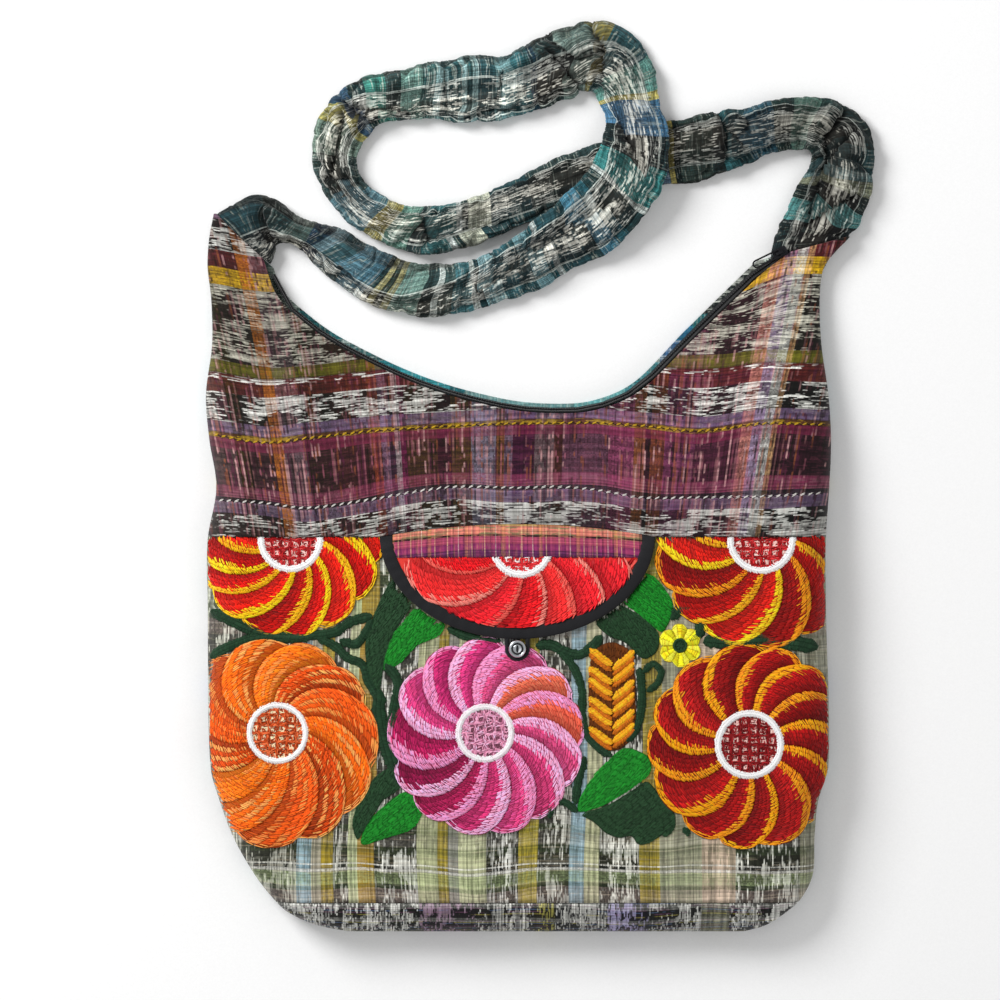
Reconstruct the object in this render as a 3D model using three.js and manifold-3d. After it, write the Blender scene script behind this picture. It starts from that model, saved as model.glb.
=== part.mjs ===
// A slouchy cloth shoulder bag lying on its back: a hollow pouch of sewn cloth walls, a zip along its dipped
// mouth, a bound half-moon pocket flap with a button and loop, and one long padded strap laid in a loop.
// Millimetres, +Z up. The origin is on the floor under the middle of the back panel, +X to the bag's right
// as it is seen from above, and +Y from the base towards the strap.
import * as THREE from "three";
import { mergeVertices } from "three/addons/utils/BufferGeometryUtils.js";
import Module from "manifold-3d";

const wasm = await Module();
wasm.setup();

// Cloth and clearances
const WALL = 1.6;
const GAP = 0.3;
const SEAM_GAP = 0.4;

// Pouch: the side seam's height, how far in from the edge the cloth rounds over, and where the seams run
const SEAM_HEIGHT = 7.5;
const FRONT_EDGE = 20;
const BACK_EDGE = 15;
const BASE_Y = -149.5;
const BASE_FRONT_Y = -132;
const BASE_BACK_Y = -133;
const YOKE_SEAM_Y = 76;

// Outline of the pouch seen from above, from the base to the horns that carry the strap
const OUTLINE = [
  { y: -149.5, left: -98, right: 130 },
  { y: -146, left: -115, right: 142 },
  { y: -139, left: -131, right: 153 },
  { y: -131, left: -140, right: 162 },
  { y: -117, left: -151, right: 169 },
  { y: -96, left: -163, right: 170 },
  { y: -75, left: -171, right: 172 },
  { y: -54, left: -176.5, right: 178 },
  { y: 40, left: -178, right: 176.5 },
  { y: 75, left: -178, right: 176.5 },
  { y: 105, left: -173, right: 178.5 },
  { y: 132, left: -177, right: 179.5 },
  { y: 158, left: -179, right: 178 },
  { y: 187, left: -175.5, right: 174 },
  { y: 213, left: -176, right: 173 },
  { y: 230, left: -178, right: 175 },
  { y: 238, left: -178, right: 180 },
  { y: 249, left: -177, right: 190.5 },
  { y: 262, left: -174.5, right: 197 },
];

// Height of the front cloth above the side seam
const FULLNESS = [
  { y: -150, rise: 20 },
  { y: -60, rise: 25 },
  { y: 20, rise: 26 },
  { y: 76, rise: 25 },
  { y: 120, rise: 21 },
  { y: 160, rise: 15 },
  { y: 200, rise: 11 },
  { y: 262, rise: 9.5 },
];

// Front edge of the mouth, from the left horn down and up to the right horn, and the zip's width seen from above
const MOUTH = [
  { x: -146, y: 236, zip: 2 },
  { x: -139, y: 216.5, zip: 2 },
  { x: -123, y: 200, zip: 2.2 },
  { x: -102, y: 185.5, zip: 2.4 },
  { x: -56, y: 163.5, zip: 2.8 },
  { x: -10, y: 150.5, zip: 3 },
  { x: 20, y: 147.5, zip: 3 },
  { x: 45, y: 149.5, zip: 3.2 },
  { x: 70, y: 160.5, zip: 3.6 },
  { x: 100, y: 189.5, zip: 4.2 },
  { x: 128, y: 216.5, zip: 4.6 },
  { x: 142, y: 229.5, zip: 4.6 },
  { x: 156, y: 240, zip: 4.6 },
];
const MOUTH_SHARE = 0.32;
const MOUTH_REACH = 55;
const BACK_STRIP = 2.6;

// Rims of the two horns, where the strap is sewn on: outer corner and slope
const LEFT_RIM = { x: -174.5, y: 262, slope: -0.912 };
const RIGHT_RIM = { x: 191, y: 249, slope: 0.257 };
const RIM_REACH = 110;

// Main folds and dents of the front cloth: middle, direction, length, width and height
const FOLDS = [
  { x: -135, y: 115, turn: -50, long: 42, wide: 9, high: 2.4 },
  { x: -150, y: 172, turn: -75, long: 36, wide: 7, high: 1.8 },
  { x: 15, y: 120, turn: 4, long: 75, wide: 12, high: -2.6 },
  { x: 118, y: 112, turn: 78, long: 34, wide: 9, high: 2.2 },
  { x: 150, y: 175, turn: 100, long: 34, wide: 7, high: 1.8 },
  { x: -84, y: 88, turn: 18, long: 26, wide: 7, high: 2 },
  { x: 74, y: 92, turn: -10, long: 36, wide: 7, high: 1.8 },
  { x: -118, y: -92, turn: -48, long: 38, wide: 10, high: -2.6 },
  { x: 136, y: -108, turn: 32, long: 30, wide: 8, high: 2.2 },
  { x: -10, y: -98, turn: 4, long: 80, wide: 11, high: -2.2 },
];

// Half-moon flap over the front pocket, bound along its curve
const FLAP = { x: -0.5, halfWide: 78.3, deep: 57.2, cloth: 1.4, lift: 1.4 };
const BINDING = { wide: 9.5, leaf: 0.8 };
const FLAP_STRIP = { deep: 13, thick: 1 };

// Button of the flap and the cord loop that holds it
const BUTTON = { x: -0.5, y: 13.3, radius: 5, shank: 2.2, stand: 3.3, thick: 2.4, dish: 3.6, dishDeep: 0.9 };
const LOOP = { radius: 5.8, cord: 2.6, ends: 18.2 };

// Zip: thickness of tape and coil, share of the ribbon's height that each takes, and its slider and wire pull
const ZIP = { tape: 0.8, coil: 1.8, frontTape: [0.03, 0.36], coilBand: [0.4, 0.66], backTape: [0.7, 0.97] };
const SLIDER = { x: 150, y: 239.4, turn: 26, long: 8.5, wide: 5.6, thick: 2.4, seat: 10.4 };
const LUG = { radius: 2.5, thick: 1.3, hole: 1.05, above: 1.5 };
const PULL = { long: 17, wide: 3.9, wire: 1.1, droop: 6 };

// Padded strap, from the left horn round its loop to the right horn: middle, heading of its run, width,
// height of its left and right edges above the floor, and thickness
const STRAP = [
  { x: -157, y: 248.1, heading: 47.6, wide: 42, left: 0, right: 0, thick: 11.5 },
  { x: -143, y: 257, heading: 18, wide: 33, left: 0, right: 0, thick: 13 },
  { x: -127.5, y: 252.6, heading: -16, wide: 18, left: 0, right: 0, thick: 14 },
  { x: -108, y: 242, heading: -32, wide: 27, left: 0, right: 0, thick: 13 },
  { x: -88, y: 229, heading: -32, wide: 32, left: 0, right: 0, thick: 12.5 },
  { x: -70, y: 221, heading: -20, wide: 32, left: 0, right: 0, thick: 12.5 },
  { x: -49, y: 219, heading: -4, wide: 31, left: 0, right: 0, thick: 12.5 },
  { x: -26, y: 221.5, heading: 15, wide: 29, left: 3, right: 0, thick: 12 },
  { x: -4, y: 229, heading: 29, wide: 33, left: 9.5, right: 0, thick: 11 },
  { x: 20, y: 243.5, heading: 36, wide: 38, left: 12, right: 0.5, thick: 10.5 },
  { x: 43, y: 259, heading: 42, wide: 44, left: 11, right: 5, thick: 10.5 },
  { x: 60, y: 279, heading: 58, wide: 45, left: 10.6, right: 10.6, thick: 10.5 },
  { x: 67.5, y: 303, heading: 80, wide: 42, left: 11, right: 12, thick: 10.5 },
  { x: 64.5, y: 325, heading: 100, wide: 35, left: 1, right: 4, thick: 11.5 },
  { x: 57, y: 343.5, heading: 130, wide: 40, left: 0, right: 0, thick: 12 },
  { x: 42, y: 352, heading: 172, wide: 43, left: 0, right: 0, thick: 12.5 },
  { x: 22, y: 346.5, heading: 196, wide: 41, left: 0, right: 0, thick: 12.5 },
  { x: -4, y: 336, heading: 194, wide: 38, left: 0, right: 0, thick: 12 },
  { x: -30, y: 334, heading: 186, wide: 40, left: 0, right: 0, thick: 12.5 },
  { x: -60, y: 331, heading: 192, wide: 32, left: 0, right: 0, thick: 12.5 },
  { x: -86, y: 325.5, heading: 206, wide: 29, left: 0, right: 0, thick: 13 },
  { x: -101, y: 310, heading: 246, wide: 31, left: 0, right: 0, thick: 13 },
  { x: -104.5, y: 292, heading: 272, wide: 27, left: 0, right: 0, thick: 13 },
  { x: -97.5, y: 274.5, heading: 306, wide: 24, left: 0, right: 0, thick: 12.5 },
  { x: -80, y: 260.5, heading: 334, wide: 26, left: 0, right: 0, thick: 12 },
  { x: -56, y: 253, heading: 350, wide: 28, left: 0, right: 0, thick: 12 },
  { x: -32, y: 256, heading: 374, wide: 28, left: 0, right: 0, thick: 12 },
  { x: -8, y: 264.5, heading: 382, wide: 28, left: 0, right: 0, thick: 9.6 },
  { x: 20, y: 277.5, heading: 383, wide: 30, left: 0, right: 0, thick: 8.8 },
  { x: 50, y: 288, heading: 377, wide: 33, left: 0, right: 0, thick: 8.8 },
  { x: 80, y: 295, heading: 374, wide: 38, left: 0, right: 0, thick: 9.6 },
  { x: 105, y: 300.5, heading: 374, wide: 39, left: 0, right: 0, thick: 12 },
  { x: 130, y: 307, heading: 376, wide: 33, left: 0, right: 0, thick: 12.5 },
  { x: 152, y: 312.5, heading: 372, wide: 32, left: 0, right: 0, thick: 13 },
  { x: 172, y: 313, heading: 340, wide: 33, left: 0, right: 0, thick: 13 },
  { x: 184.5, y: 302, heading: 298, wide: 40, left: 0, right: 0, thick: 13 },
  { x: 183, y: 283, heading: 270, wide: 43, left: 0, right: 0, thick: 13 },
  { x: 176, y: 265, heading: 256, wide: 45, left: 0, right: 0, thick: 12.5 },
  { x: 167.2, y: 243.9, heading: 284.4, wide: 46, left: 0, right: 0, thick: 10.5 },
];
const STRAP_STEPS = 92;
const STRAP_SIDES = 16;
const STRAP_CREASE = 1.4;

// Cloth colours, and how rough each finish is
const JASPE_PLUM = material(0x6b4a5c, 0.9);
const JASPE_OLIVE = material(0x8a8a6c, 0.9);
const JASPE_TEAL = material(0x4f6f70, 0.9);
const JASPE_DARK = material(0x4a4a48, 0.92);
const CORAL_CLOTH = material(0xd8423a, 0.85);
const PLAID_CLOTH = material(0x9a4a5c, 0.9);
const BLACK_CLOTH = material(0x1d1e22, 0.85);
const BLACK_NYLON = material(0x141416, 0.55);
const BLACK_METAL = material(0x26262a, 0.35, 0.9);
const SILVER_METAL = material(0xb9bcc0, 0.25, 0.9);

function material(color, roughness, metalness = 0) {
  return new THREE.MeshStandardMaterial({ color, roughness, metalness });
}

const radians = THREE.MathUtils.degToRad;
const mix = THREE.MathUtils.lerp;
const ease = (t) => THREE.MathUtils.smoothstep(t, 0, 1);

// One column of a table at a place along its key, on a smooth curve through the rows.
function read(rows, key, at, column) {
  const last = rows.length - 1;
  if (at <= rows[0][key]) return rows[0][column];
  if (at >= rows[last][key]) return rows[last][column];
  const i = rows.findIndex((row) => row[key] > at) - 1;
  const span = rows[i + 1][key] - rows[i][key];
  const t = (at - rows[i][key]) / span;
  const slope = (k) => {
    const a = rows[Math.max(k - 1, 0)];
    const b = rows[Math.min(k + 1, last)];
    return ((b[column] - a[column]) / (b[key] - a[key])) * span;
  };
  const [p, q, t2, t3] = [rows[i][column], rows[i + 1][column], t * t, t * t * t];
  return (
    p * (2 * t3 - 3 * t2 + 1) + slope(i) * (t3 - 2 * t2 + t) + q * (3 * t2 - 2 * t3) + slope(i + 1) * (t3 - t2)
  );
}

const leftEdge = (y) => read(OUTLINE, "y", y, "left");
const rightEdge = (y) => read(OUTLINE, "y", y, "right");
const mouthY = (x) => read(MOUTH, "x", x, "y");
const rimY = (rim, x) => rim.y + (x - rim.x) * rim.slope;
const MOUTH_LEFT = MOUTH[0].x;
const MOUTH_RIGHT = MOUTH[MOUTH.length - 1].x;

// Distance from a point of the front to the mouth's edge
const MOUTH_LINE = Array.from({ length: 49 }, (_, k) => {
  const x = mix(MOUTH_LEFT, MOUTH_RIGHT, k / 48);
  return new THREE.Vector2(x, mouthY(x));
});
function fromMouth(x, y) {
  return Math.min(...MOUTH_LINE.map((p) => Math.hypot(p.x - x, p.y - y)));
}

// Sum of the folds at a point of the front
function foldHeight(x, y) {
  return FOLDS.reduce((sum, fold) => {
    const [c, s] = [Math.cos(radians(fold.turn)), Math.sin(radians(fold.turn))];
    const run = ((x - fold.x) * c + (y - fold.y) * s) / fold.long;
    const side = ((y - fold.y) * c - (x - fold.x) * s) / fold.wide;
    return sum + fold.high * Math.exp(-run * run - side * side);
  }, 0);
}

// Height of the front cloth: full in the middle, lower at the mouth, and rounded down to the side seam
function frontHeight(x, y, roundSide, roundBase) {
  const mouth = mix(MOUTH_SHARE, 1, ease(fromMouth(x, y) / MOUTH_REACH));
  const round = roundSide * roundBase;
  return SEAM_HEIGHT + round * (read(FULLNESS, "y", y, "rise") * mouth + foldHeight(x, y));
}

// Columns across the pouch: degrees round the left edge, shares of the flat, degrees round the right edge
const EDGE_TURNS = [0, 22.5, 45, 67.5, 90];
const FLAT_COLUMNS = 21;
const FLAT_FROM = 0.034;
const FLAT_TO = 0.991;
const COLUMNS = [
  ...EDGE_TURNS.map((turn) => ({ side: -1, turn })),
  ...Array.from({ length: FLAT_COLUMNS }, (_, k) => ({
    side: 0,
    turn: 90,
    share: mix(FLAT_FROM, FLAT_TO, k / (FLAT_COLUMNS - 1)),
  })),
  ...[...EDGE_TURNS].reverse().map((turn) => ({ side: 1, turn })),
];

// Place across the pouch of a column at a height y, for an edge that rounds over in the given distance
function columnX(column, y, edge) {
  const inset = edge * (1 - Math.cos(radians(column.turn)));
  if (column.side < 0) return leftEdge(y) + inset;
  if (column.side > 0) return rightEdge(y) - inset;
  return mix(leftEdge(y) + edge, rightEdge(y) - edge, column.share);
}

// Where a column meets the pouch's top: the horns' rims and, between them, the mouth
function columnTop(column, edge, topOf) {
  let y = YOKE_SEAM_Y;
  for (let k = 0; k < 12; k++) y = topOf(columnX(column, y, edge));
  return y;
}

function frontTop(x) {
  if (x < MOUTH_LEFT) return rimY(LEFT_RIM, x);
  if (x > MOUTH_RIGHT) return rimY(RIGHT_RIM, x);
  return mouthY(x);
}

function backTop(x) {
  const slope = mouthY(x + 0.5) - mouthY(x - 0.5);
  const strip = (read(MOUTH, "x", x, "zip") + BACK_STRIP) * Math.hypot(1, slope);
  const rim = x < 0 ? rimY(LEFT_RIM, x) : rimY(RIGHT_RIM, x);
  if (x < MOUTH_LEFT || x > MOUTH_RIGHT) return rim;
  return Math.abs(x) < RIM_REACH ? mouthY(x) + strip : Math.min(mouthY(x) + strip, rim);
}

// Direction out of the cloth at a column, with the base's rounding
function outward(column, baseTurn, up) {
  const side = column.side * Math.cos(radians(column.turn));
  const base = -Math.cos(radians(baseTurn));
  const rise = up * Math.sin(radians(column.turn)) * Math.sin(radians(baseTurn));
  return new THREE.Vector3(side, base, rise).normalize();
}

// A closed solid between two grids of points, an outer and an inner one, joined along their rims.
function shell(outer, inner) {
  const rows = outer.length;
  const columns = outer[0].length;
  const points = [...outer.flat(), ...inner.flat()];
  const at = (layer, r, c) => layer * rows * columns + r * columns + c;
  const faces = [];
  const quad = (a, b, c, d) => faces.push(a, b, c, a, c, d);
  for (let r = 0; r < rows - 1; r++)
    for (let c = 0; c < columns - 1; c++) {
      quad(at(0, r, c), at(0, r, c + 1), at(0, r + 1, c + 1), at(0, r + 1, c));
      quad(at(1, r, c), at(1, r + 1, c), at(1, r + 1, c + 1), at(1, r, c + 1));
    }
  for (let c = 0; c < columns - 1; c++) {
    quad(at(0, 0, c + 1), at(0, 0, c), at(1, 0, c), at(1, 0, c + 1));
    quad(at(0, rows - 1, c), at(0, rows - 1, c + 1), at(1, rows - 1, c + 1), at(1, rows - 1, c));
  }
  for (let r = 0; r < rows - 1; r++) {
    quad(at(0, r, 0), at(0, r + 1, 0), at(1, r + 1, 0), at(1, r, 0));
    quad(at(0, r + 1, columns - 1), at(0, r, columns - 1), at(1, r, columns - 1), at(1, r + 1, columns - 1));
  }
  return solid(points, faces);
}

// A closed solid through rings of points, capped at both ends or joined into a ring.
function loft(rings, closed = false, section = null) {
  const sides = rings[0].length;
  const points = rings.flat();
  const faces = [];
  const steps = closed ? rings.length : rings.length - 1;
  for (let r = 0; r < steps; r++)
    for (let s = 0; s < sides; s++) {
      const next = ((r + 1) % rings.length) * sides;
      const [a, b] = [r * sides + s, r * sides + ((s + 1) % sides)];
      const [c, d] = [next + ((s + 1) % sides), next + s];
      faces.push(a, b, c, a, c, d);
    }
  if (!closed) {
    const last = (rings.length - 1) * sides;
    const fan = Array.from({ length: sides - 2 }, (_, s) => [0, s + 1, s + 2]);
    const caps = section ? THREE.ShapeUtils.triangulateShape(section, []) : fan;
    for (const [a, b, c] of caps) {
      faces.push(a, c, b);
      faces.push(last + a, last + b, last + c);
    }
  }
  return solid(points, faces);
}

// Triangles between the points, turned over as a whole where they would face inwards
function solid(points, faces) {
  const origin = points[0];
  let volume = 0;
  for (let k = 0; k < faces.length; k += 3) {
    const [a, b, c] = [0, 1, 2].map((n) => points[faces[k + n]].clone().sub(origin));
    volume += a.dot(b.cross(c));
  }
  const geometry = new THREE.BufferGeometry().setFromPoints(points);
  geometry.setIndex(volume < 0 ? [...faces].reverse() : faces);
  geometry.computeVertexNormals();
  return geometry;
}

// The front cloth over a span of rows: each column runs from its own low to its own high place.
function frontCloth(rows, lowOf, highOf) {
  const grid = (deep) =>
    Array.from({ length: rows + 1 }, (_, r) =>
      COLUMNS.map((column) => {
        const y = mix(lowOf(column), highOf(column), r / rows);
        const x = columnX(column, y, FRONT_EDGE);
        const z = frontHeight(x, y, Math.sin(radians(column.turn)), 1) + SEAM_GAP / 2;
        return new THREE.Vector3(x, y, z).addScaledVector(outward(column, 90, 1), -deep);
      }),
    );
  return shell(grid(0), grid(WALL));
}

// Height of the seam between yoke and pocket panel, arched over the flap's top edge
const FLAP_ARCH = 5;
function yokeSeam(column) {
  const x = (columnX(column, YOKE_SEAM_Y, FRONT_EDGE) - FLAP.x) / FLAP.halfWide;
  return YOKE_SEAM_Y + FLAP_ARCH * Math.max(0, 1 - x * x);
}

function frontYoke() {
  const low = (column) => yokeSeam(column) + SEAM_GAP / 2;
  return frontCloth(9, low, (column) => columnTop(column, FRONT_EDGE, frontTop));
}

function pocketPanel() {
  const high = (column) => yokeSeam(column) - SEAM_GAP / 2;
  return frontCloth(11, () => BASE_FRONT_Y + SEAM_GAP, high);
}

// The back lies flat on the floor and rounds up to the side seam.
function backPanel() {
  const rows = 10;
  const grid = (deep) =>
    Array.from({ length: rows + 1 }, (_, r) =>
      COLUMNS.map((column) => {
        const y = mix(BASE_BACK_Y + SEAM_GAP, columnTop(column, BACK_EDGE, backTop), r / rows);
        const x = columnX(column, y, BACK_EDGE);
        const z = (SEAM_HEIGHT - SEAM_GAP / 2) * (1 - Math.sin(radians(column.turn)));
        return new THREE.Vector3(x, y, z).addScaledVector(outward(column, 90, -1), -deep);
      }),
    );
  return shell(grid(WALL), grid(0));
}

// The base band turns from the front seam round the bottom edge to the back seam.
function baseGusset() {
  const turns = [90, 72, 54, 36, 18, 0, -20, -40, -65, -90];
  const grid = (deep) =>
    turns.map((turn) => {
      const front = turn >= 0;
      const seam = front ? BASE_FRONT_Y : BASE_BACK_Y;
      const edge = front ? FRONT_EDGE : BACK_EDGE;
      const lift = Math.sin(radians(Math.abs(turn)));
      return COLUMNS.map((column) => {
        const roundSide = Math.sin(radians(column.turn));
        const y = mix(BASE_Y, seam, 1 - Math.cos(radians(turn)));
        const x = mix(columnX(column, y, FRONT_EDGE), columnX(column, y, BACK_EDGE), front ? 0 : lift);
        const z = front
          ? frontHeight(x, y, roundSide, lift) + SEAM_GAP / 2
          : (SEAM_HEIGHT + SEAM_GAP * (0.5 - lift)) * (1 - roundSide * lift);
        return new THREE.Vector3(x, y, z).addScaledVector(outward(column, turn, 1), -deep);
      });
    });
  return shell(grid(WALL), grid(0));
}

// Top of the pocket panel under the flap, button and loop
const panelTop = (x, y) => frontHeight(x, y, 1, 1) + SEAM_GAP / 2;
const onPanel = (x, y, above) => new THREE.Vector3(x, y, panelTop(x, y) + above);

// Edge of the half-moon at a share across it, and the same edge drawn in by an inset
function flapEdge(share, inset) {
  return YOKE_SEAM_Y - (FLAP.deep - inset) * Math.sqrt(1 - share * share);
}

function pocketFlap() {
  const inset = BINDING.leaf + GAP;
  const columns = Array.from({ length: 23 }, (_, k) => 0.985 * Math.sin((k / 22 - 0.5) * Math.PI));
  const rows = 6;
  const grid = (above) =>
    Array.from({ length: rows + 1 }, (_, r) =>
      columns.map((share) => {
        const x = FLAP.x + (FLAP.halfWide - inset) * share;
        const high = YOKE_SEAM_Y + FLAP_ARCH * (1 - share * share) - SEAM_GAP;
        return onPanel(x, mix(flapEdge(share, inset), high, r / rows), FLAP.lift + above);
      }),
    );
  return shell(grid(FLAP.cloth), grid(0));
}

// Plaid strip over the flap's top, inside its binding
function flapStrip() {
  const low = YOKE_SEAM_Y - FLAP_STRIP.deep;
  const half = FLAP.halfWide * Math.sqrt(1 - (FLAP_STRIP.deep / FLAP.deep) ** 2) - BINDING.wide - 1;
  const base = FLAP.lift + FLAP.cloth + GAP;
  const grid = (above) =>
    [0, 0.5, 1].map((t) =>
      Array.from({ length: 17 }, (_, k) => {
        const share = k / 8 - 1;
        const x = FLAP.x + half * share;
        const spread = (half * share) / FLAP.halfWide;
        const high = YOKE_SEAM_Y + FLAP_ARCH * (1 - spread * spread) - SEAM_GAP;
        return onPanel(x, mix(low, high, t), base + above);
      }),
    );
  return shell(grid(FLAP_STRIP.thick), grid(0));
}

// Bias binding folded over the flap's curved edge, a leaf above and a leaf below the cloth
function flapBinding() {
  const { leaf, wide } = BINDING;
  const under = FLAP.lift - GAP;
  const over = FLAP.lift + FLAP.cloth + GAP;
  const section = [
    [wide, under - leaf],
    [0, under - leaf],
    [0, over + leaf],
    [wide, over + leaf],
    [wide, over],
    [leaf, over],
    [leaf, under],
    [wide, under],
  ].map(([inset, above]) => new THREE.Vector2(-inset, above));
  const rings = Array.from({ length: 37 }, (_, k) => {
    const turn = radians(mix(176, 4, k / 36));
    const [c, s] = [Math.cos(turn), Math.sin(turn)];
    const out = new THREE.Vector2(c / FLAP.halfWide, -s / FLAP.deep).normalize();
    return section.map((p) => {
      const x = FLAP.x + FLAP.halfWide * c + out.x * p.x;
      return onPanel(x, YOKE_SEAM_Y - FLAP.deep * s + out.y * p.x, p.y);
    });
  });
  return loft(rings, false, section);
}

// Shank button with a dished face
function flapButton() {
  const { radius, shank, stand, thick, dish, dishDeep } = BUTTON;
  const round = 0.6;
  const top = stand + thick;
  const profile = [
    [0, GAP],
    [shank, GAP],
    [shank, stand],
    [radius - round, stand],
    [radius, stand + round],
    [radius, top - round],
    [radius - round, top],
    [dish, top],
    [dish - round, top - dishDeep],
    [0, top - dishDeep],
  ].map(([r, h]) => new THREE.Vector2(r, h));
  const button = new THREE.LatheGeometry(profile, 24).rotateX(Math.PI / 2);
  return button.translate(BUTTON.x, BUTTON.y, panelTop(BUTTON.x, BUTTON.y));
}

// Round wire or cord section with a few flat sides
function roundSection(diameter, sides) {
  const points = Array.from({ length: sides }, (_, k) => {
    const turn = ((k + 0.5) / sides) * 2 * Math.PI;
    return new THREE.Vector2(Math.cos(turn), Math.sin(turn)).multiplyScalar(diameter / 2);
  });
  return new THREE.Shape(points);
}

function buttonLoop() {
  const height = GAP + LOOP.cord / 2;
  const bend = Array.from({ length: 9 }, (_, k) => {
    const turn = radians(-180 * (k / 8));
    return [BUTTON.x + LOOP.radius * Math.cos(turn), BUTTON.y + LOOP.radius * Math.sin(turn)];
  });
  const plan = [[BUTTON.x + LOOP.radius, LOOP.ends], ...bend, [BUTTON.x - LOOP.radius, LOOP.ends]];
  const route = new THREE.CatmullRomCurve3(plan.map(([x, y]) => onPanel(x, y, height)));
  return new THREE.ExtrudeGeometry(roundSection(LOOP.cord, 8), { extrudePath: route, steps: 26 });
}

// Points of the front edge of the mouth, one for each column of the yoke, drawn in a little from the rims
const MOUTH_EDGE = COLUMNS.filter((column) => column.side === 0).map((column) => {
  const y = columnTop(column, FRONT_EDGE, frontTop);
  return new THREE.Vector2(columnX(column, y, FRONT_EDGE), y);
});
MOUTH_EDGE[0].lerp(MOUTH_EDGE[1], 0.35);
MOUTH_EDGE.at(-1).lerp(MOUTH_EDGE.at(-2), 0.35);

// A band of the zip's ribbon, which drops from the front edge of the mouth to the back panel
function zipBand([from, to], thick) {
  const rings = MOUTH_EDGE.map(({ x, y }, k) => {
    const behind = MOUTH_EDGE[Math.max(k - 1, 0)];
    const ahead = MOUTH_EDGE[Math.min(k + 1, MOUTH_EDGE.length - 1)];
    const out = new THREE.Vector2(behind.y - ahead.y, ahead.x - behind.x).normalize();
    const low = WALL + 2 * GAP;
    const high = panelTop(x, y) - 2 * GAP;
    const reach = read(MOUTH, "x", x, "zip") - 2 * GAP;
    const lean = new THREE.Vector2(high - low, reach).normalize().multiplyScalar(thick / 2);
    return [
      [from, -1],
      [to, -1],
      [to, 1],
      [from, 1],
    ].map(([share, face]) => {
      const away = 2 * GAP + reach * share + lean.x * face;
      return new THREE.Vector3(x + out.x * away, y + out.y * away, mix(high, low, share) + lean.y * face);
    });
  });
  return loft(rings);
}

// Joins solids into one.
function joined(...geometries) {
  const parts = geometries.map((geometry) => {
    const bare = new THREE.BufferGeometry().setAttribute("position", geometry.getAttribute("position"));
    if (geometry.index) bare.setIndex(geometry.index);
    const welded = mergeVertices(bare, 1e-4);
    return new wasm.Manifold(
      new wasm.Mesh({
        numProp: 3,
        vertProperties: new Float32Array(welded.getAttribute("position").array),
        triVerts: new Uint32Array(welded.index.array),
      }),
    );
  });
  const mesh = parts.reduce((sum, part) => sum.add(part)).getMesh();
  const geometry = new THREE.BufferGeometry();
  geometry.setAttribute("position", new THREE.BufferAttribute(new Float32Array(mesh.vertProperties), 3));
  geometry.setIndex(new THREE.BufferAttribute(new Uint32Array(mesh.triVerts), 1));
  geometry.computeVertexNormals();
  return geometry;
}

const AXLE_Z = SLIDER.seat + SLIDER.thick + LUG.above;

function placeOnZip(geometry) {
  return geometry.rotateZ(radians(SLIDER.turn)).translate(SLIDER.x, SLIDER.y, 0);
}

// Slider with an upright eye for the pull
function zipSlider() {
  const [x, y, r] = [SLIDER.long / 2, SLIDER.wide / 2, 1.4];
  const plan = new THREE.Shape().moveTo(r - x, -y).lineTo(x - r, -y).absarc(x - r, r - y, r, -Math.PI / 2, 0);
  plan.absarc(x - r, y - r, r, 0, Math.PI / 2).absarc(r - x, y - r, r, Math.PI / 2, Math.PI);
  plan.absarc(r - x, r - y, r, Math.PI, 1.5 * Math.PI);
  const body = new THREE.ExtrudeGeometry(plan, { depth: SLIDER.thick, bevelEnabled: false, curveSegments: 4 });
  const foot = -LUG.above - 0.5;
  const eye = new THREE.Shape().moveTo(-LUG.radius, foot).lineTo(LUG.radius, foot);
  eye.absarc(0, 0, LUG.radius, 0, Math.PI);
  eye.holes.push(new THREE.Path().absarc(0, 0, LUG.hole, 0, 2 * Math.PI, true));
  const lug = new THREE.ExtrudeGeometry(eye, { depth: LUG.thick, bevelEnabled: false, curveSegments: 8 });
  lug.translate(0, 0, -LUG.thick / 2).rotateX(Math.PI / 2);
  return placeOnZip(joined(body.translate(0, 0, SLIDER.seat), lug.translate(0, 0, AXLE_Z)));
}

// Wire pull: a long narrow ring whose straight end turns in the slider's eye
function zipPull() {
  const half = PULL.wide / 2;
  const bend = 0.8;
  const arc = (x, y, r, from, to, count) =>
    Array.from({ length: count + 1 }, (_, k) => {
      const turn = radians(mix(from, to, k / count));
      return new THREE.Vector2(x + r * Math.cos(turn), y + r * Math.sin(turn));
    });
  const legs = [0.25, 0.5, 0.75].map((t) => mix(-bend, half - PULL.long, t));
  const path = [
    ...arc(-bend, half - bend, bend, 0, 90, 3),
    ...legs.map((x) => new THREE.Vector2(x, half)),
    ...arc(half - PULL.long, 0, half, 90, 270, 8),
    ...[...legs].reverse().map((x) => new THREE.Vector2(x, -half)),
    ...arc(-bend, bend - half, bend, -90, 0, 3),
  ];
  const section = roundSection(PULL.wire, 8).getPoints().slice(0, 8);
  const rings = path.map((p, k) => {
    const ahead = path[(k + 1) % path.length].clone().sub(path.at(k - 1)).normalize();
    return section.map((q) => new THREE.Vector3(p.x + ahead.y * q.x, p.y - ahead.x * q.x, q.y));
  });
  const ring = loft(rings, true).rotateY(radians(-PULL.droop));
  return placeOnZip(ring.translate(0, 0, AXLE_Z));
}

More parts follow.
